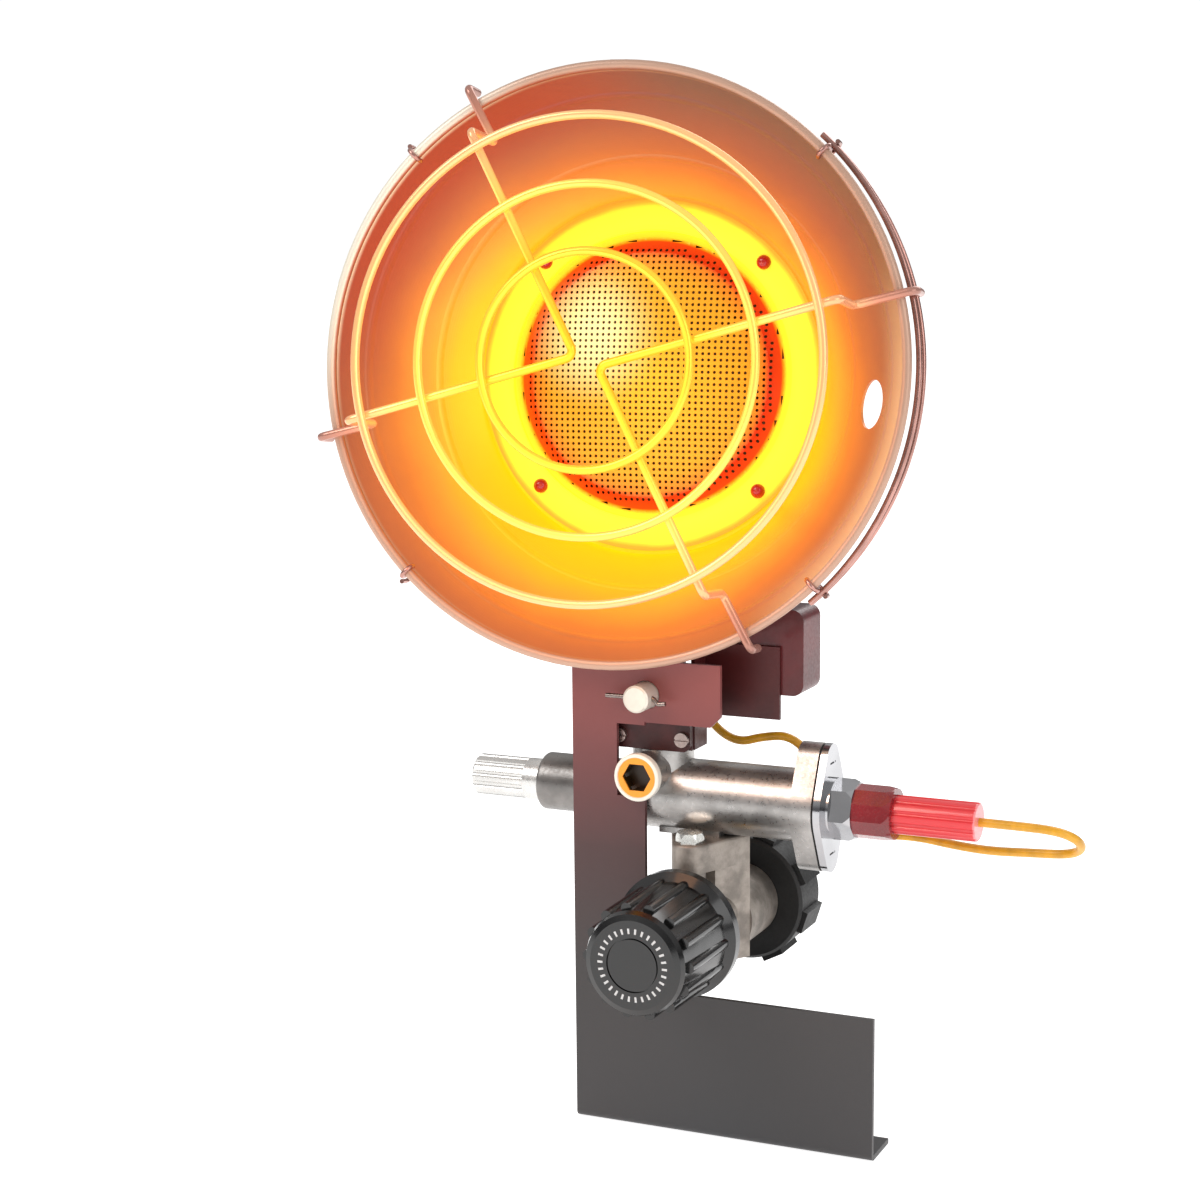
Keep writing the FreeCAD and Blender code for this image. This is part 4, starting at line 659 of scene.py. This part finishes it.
def makeBracketPaint(s):
    # satin paint, lit red by the dish from above; a finer orange peel in the bump
    material, shader, bsdf, place, wear = wornMaterial("bracketPaint", s["wearScale"])
    stain = shader.math("MULTIPLY_ADD", wear["Cloud"], s["stain"], -0.5 * s["stain"])
    height, = shader.millimetres(place, "Z")
    stained = shader.math("ADD", height, stain)
    shader.link(shader.ramp(stained, s["low"], s["high"], s["stops"]), bsdf["Base Color"])
    bsdf["Metallic"].default_value = s["metal"]
    shader.link(shader.toRange(wear["Grain"], 0.0, 1.0, s["smooth"], s["rough"]), bsdf["Roughness"])
    peel = shader.noise(place, s["peelScale"], s["peelDetail"])
    shader.link(shader.bump(peel, s["peel"]), bsdf["Normal"])
    return material


paint(makeBracketPaint(bracketLook), "support_bracket")

plugLook = {
    "centre": (-21.2, 60.0), "face": -77.0, "rimFrom": 7.5, "rimTo": 7.9, "socketFrom": 7.0, "socketTo": 6.6,
    "depthFrom": 0.6, "depthTo": 1.4, "orange": (1.0, 0.65, 0.18), "white": (0.98, 0.95, 0.9),
    "dark": (0.17, 0.1, 0.0), "wearScale": 80.0, "stain": 0.12, "metal": 0.1, "rough": 0.35,
}


def radiusAbout(shader, x, z, centre):
    # distance from an axis along Y through the centre
    return shader.hypotenuse(shader.math("SUBTRACT", x, centre[0]), shader.math("SUBTRACT", z, centre[1]))


def makePlugMaterial(s):
    # distance from the plug's axis gives the white rim; depth behind the face gives the socket its painted shade
    material, shader, bsdf, place, wear = wornMaterial("plugMetal", s["wearScale"])
    x, y, z = shader.millimetres(place, "X", "Y", "Z")
    radius = radiusAbout(shader, x, z, s["centre"])
    depth = shader.math("SUBTRACT", y, s["face"])
    rim = shader.step(radius, s["rimFrom"], s["rimTo"])
    color = shader.mix(rim, linear(s["orange"]), linear(s["white"]))
    # painted shade inside the recessed socket
    socket = shader.both(shader.step(radius, s["socketFrom"], s["socketTo"]),
                         shader.step(depth, s["depthFrom"], s["depthTo"]))
    color = shader.mix(socket, color, linear(s["dark"]))
    color = shader.mix(shader.both(wear["Cloud"], s["stain"]), color, linear(s["dark"]))
    shader.link(color, bsdf["Base Color"])
    bsdf["Metallic"].default_value = s["metal"]
    bsdf["Roughness"].default_value = s["rough"]
    return material


paint(makePlugMaterial(plugLook), "hex_plug")

connectorLook = {
    "red": (0.88, 0.19, 0.22), "dull": (0.75, 0.12, 0.15), "pink": (0.95, 0.55, 0.57), "endFrom": 105.2,
    "endTo": 105.8, "wearScale": 90.0, "stain": 0.3, "rough": 0.3, "coat": 0.4, "bump": 0.08,
}


def makeConnectorMaterial(s):
    # bright red barrel whose end face is a paler pink
    material, shader, bsdf, place, wear = wornMaterial("connectorPlastic", s["wearScale"])
    red = shader.mix(shader.both(wear["Cloud"], s["stain"]), linear(s["red"]), linear(s["dull"]))
    along, = shader.millimetres(place, "X")
    ending = shader.step(along, s["endFrom"], s["endTo"])
    shader.link(shader.mix(ending, red, linear(s["pink"])), bsdf["Base Color"])
    bsdf["Roughness"].default_value = s["rough"]
    bsdf["Coat Weight"].default_value = s["coat"]
    shader.link(shader.bump(wear["Grain"], s["bump"]), bsdf["Normal"])
    return material


paint(makeConnectorMaterial(connectorLook), "red_connector")

knobLook = {
    "centre": (-1.2, 3.5), "front": -125.0, "faceFrom": 0.6, "faceTo": 0.3, "ticks": 30.0, "whole": 100.5,
    "tickOuter": 0.17, "tickInner": 0.13, "from": 11.6, "to": 13.6, "soft": 0.2,
    "tone": (0.03, 0.03, 0.032), "dull": (0.02, 0.02, 0.02), "tick": (0.8, 0.8, 0.8),
    "wearScale": 60.0, "stain": 0.5, "rough": 0.22, "coat": 0.4, "coatRough": 0.1, "bump": 0.06,
}


def makeKnobMaterial(s):
    # gloss black with a ring of plain pale ticks: angle in turns times their count, plus whole so that it is
    # never below 0, then the fraction of that
    material, shader, bsdf, place, wear = wornMaterial("knobPlastic", s["wearScale"])
    x, y, z = shader.millimetres(place, "X", "Y", "Z")
    radius = radiusAbout(shader, x, z, s["centre"])
    right = shader.math("SUBTRACT", x, s["centre"][0])
    up = shader.math("SUBTRACT", z, s["centre"][1])
    turns = shader.math("DIVIDE", shader.math("ARCTAN2", up, right), 2.0 * math.pi)
    share = shader.math("FRACT", shader.math("MULTIPLY_ADD", turns, s["ticks"], s["whole"]))
    offset = shader.math("ABSOLUTE", shader.math("SUBTRACT", share, 0.5))
    stroke = shader.step(offset, s["tickOuter"], s["tickInner"])
    band = shader.both(shader.step(radius, s["from"], s["from"] + s["soft"]),
                       shader.step(radius, s["to"] + s["soft"], s["to"]))
    face = shader.step(y, s["front"] + s["faceFrom"], s["front"] + s["faceTo"])
    gloss = shader.mix(shader.both(wear["Cloud"], s["stain"]), linear(s["tone"]), linear(s["dull"]))
    mask = shader.both(shader.both(band, stroke), face)
    shader.link(shader.mix(mask, gloss, linear(s["tick"])), bsdf["Base Color"])
    bsdf["Roughness"].default_value = s["rough"]
    bsdf["Coat Weight"].default_value = s["coat"]
    bsdf["Coat Roughness"].default_value = s["coatRough"]
    shader.link(shader.bump(wear["Grain"], s["bump"]), bsdf["Normal"])
    return material


paint(makeKnobMaterial(knobLook), "control_knob")
print("stage special finishes")

# Plain pale floor and soft light
floorLook = {"level": -0.0817, "size": 40.0, "tone": (0.9, 0.9, 0.9), "light": 0.8, "rough": 0.8}
worldLook = {
    "strength": 0.8, "seen": (1.3, 1.3, 1.3, 1.0),
    "ramp": [
        (-1.0, (0.8, 0.8, 0.8)), (-0.1, (0.72, 0.72, 0.73)), (0.1, (0.45, 0.45, 0.46)), (0.35, (0.8, 0.8, 0.8)),
        (1.0, (0.95, 0.95, 0.95))],
}
lights = {
    "keyLight": {"place": (-0.9, -1.3, 1.5), "target": (0.0, -0.05, 0.1), "power": 13.0, "size": 0.9,
                 "color": (1.0, 1.0, 1.0)},
    "fillLight": {"place": (1.5, -0.7, 0.7), "target": (0.0, -0.05, 0.1), "power": 6.0, "size": 1.0,
                  "color": (1.0, 1.0, 1.0)},
    "backLight": {"place": (0.2, 1.4, 1.2), "target": (0.0, 0.0, 0.1), "power": 9.0, "size": 1.0,
                  "color": (1.0, 1.0, 1.0)},
    "dishGlow": {"place": (-0.03, -0.2, 0.205), "target": (-0.02, -0.05, 0.07), "power": 0.12, "size": 0.12,
                 "color": (1.0, 0.45, 0.2)},
}


def makeFloor(s):
    material = bpy.data.materials.new("floorPaper")
    material.use_nodes = True
    bsdf = material.node_tree.nodes["Principled BSDF"].inputs
    bsdf["Base Color"].default_value = linear(s["tone"])
    bsdf["Roughness"].default_value = s["rough"]
    bsdf["Emission Color"].default_value = white
    bsdf["Emission Strength"].default_value = s["light"]
    half = s["size"] / 2.0
    corners = [(-half, -half), (half, -half), (half, half), (-half, half)]
    floor = addMesh("floorSheet", [(x, y, s["level"]) for x, y in corners], [(0, 1, 2, 3)], material, smooth=False)


def makeWorld(s):
    # what the metal reflects is brighter above and has a darker band near the horizon; the camera sees white
    world = bpy.data.worlds.new("studio")
    world.use_nodes = True
    bpy.context.scene.world = world
    shader = Shader(world.node_tree)
    split = shader.add("ShaderNodeSeparateXYZ")
    shader.link(shader.add("ShaderNodeTexCoord").outputs["Generated"], split.inputs[0])
    color = shader.ramp(split.outputs[2], -1.0, 1.0, s["ramp"])
    seen = shader.add("ShaderNodeLightPath").outputs["Is Camera Ray"]
    back = shader.nodes["Background"].inputs
    shader.link(shader.mix(seen, color, s["seen"]), back["Color"])
    back["Strength"].default_value = s["strength"]


def makeLight(name, s):
    data = bpy.data.lights.new(name, "AREA")
    data.energy = s["power"]
    data.size = s["size"]
    data.color = s["color"]
    light = bpy.data.objects.new(name, data)
    light.location = s["place"]
    light.rotation_mode = "QUATERNION"
    light.rotation_quaternion = (Vector(s["target"]) - Vector(s["place"])).to_track_quat("-Z", "Y")
    bpy.context.scene.collection.objects.link(light)


makeFloor(floorLook)
makeWorld(worldLook)
for name, look in lights.items():
    makeLight(name, look)
bpy.context.scene.view_settings.view_transform = "Standard"
bpy.context.scene.view_settings.look = "None"
print("stage studio")
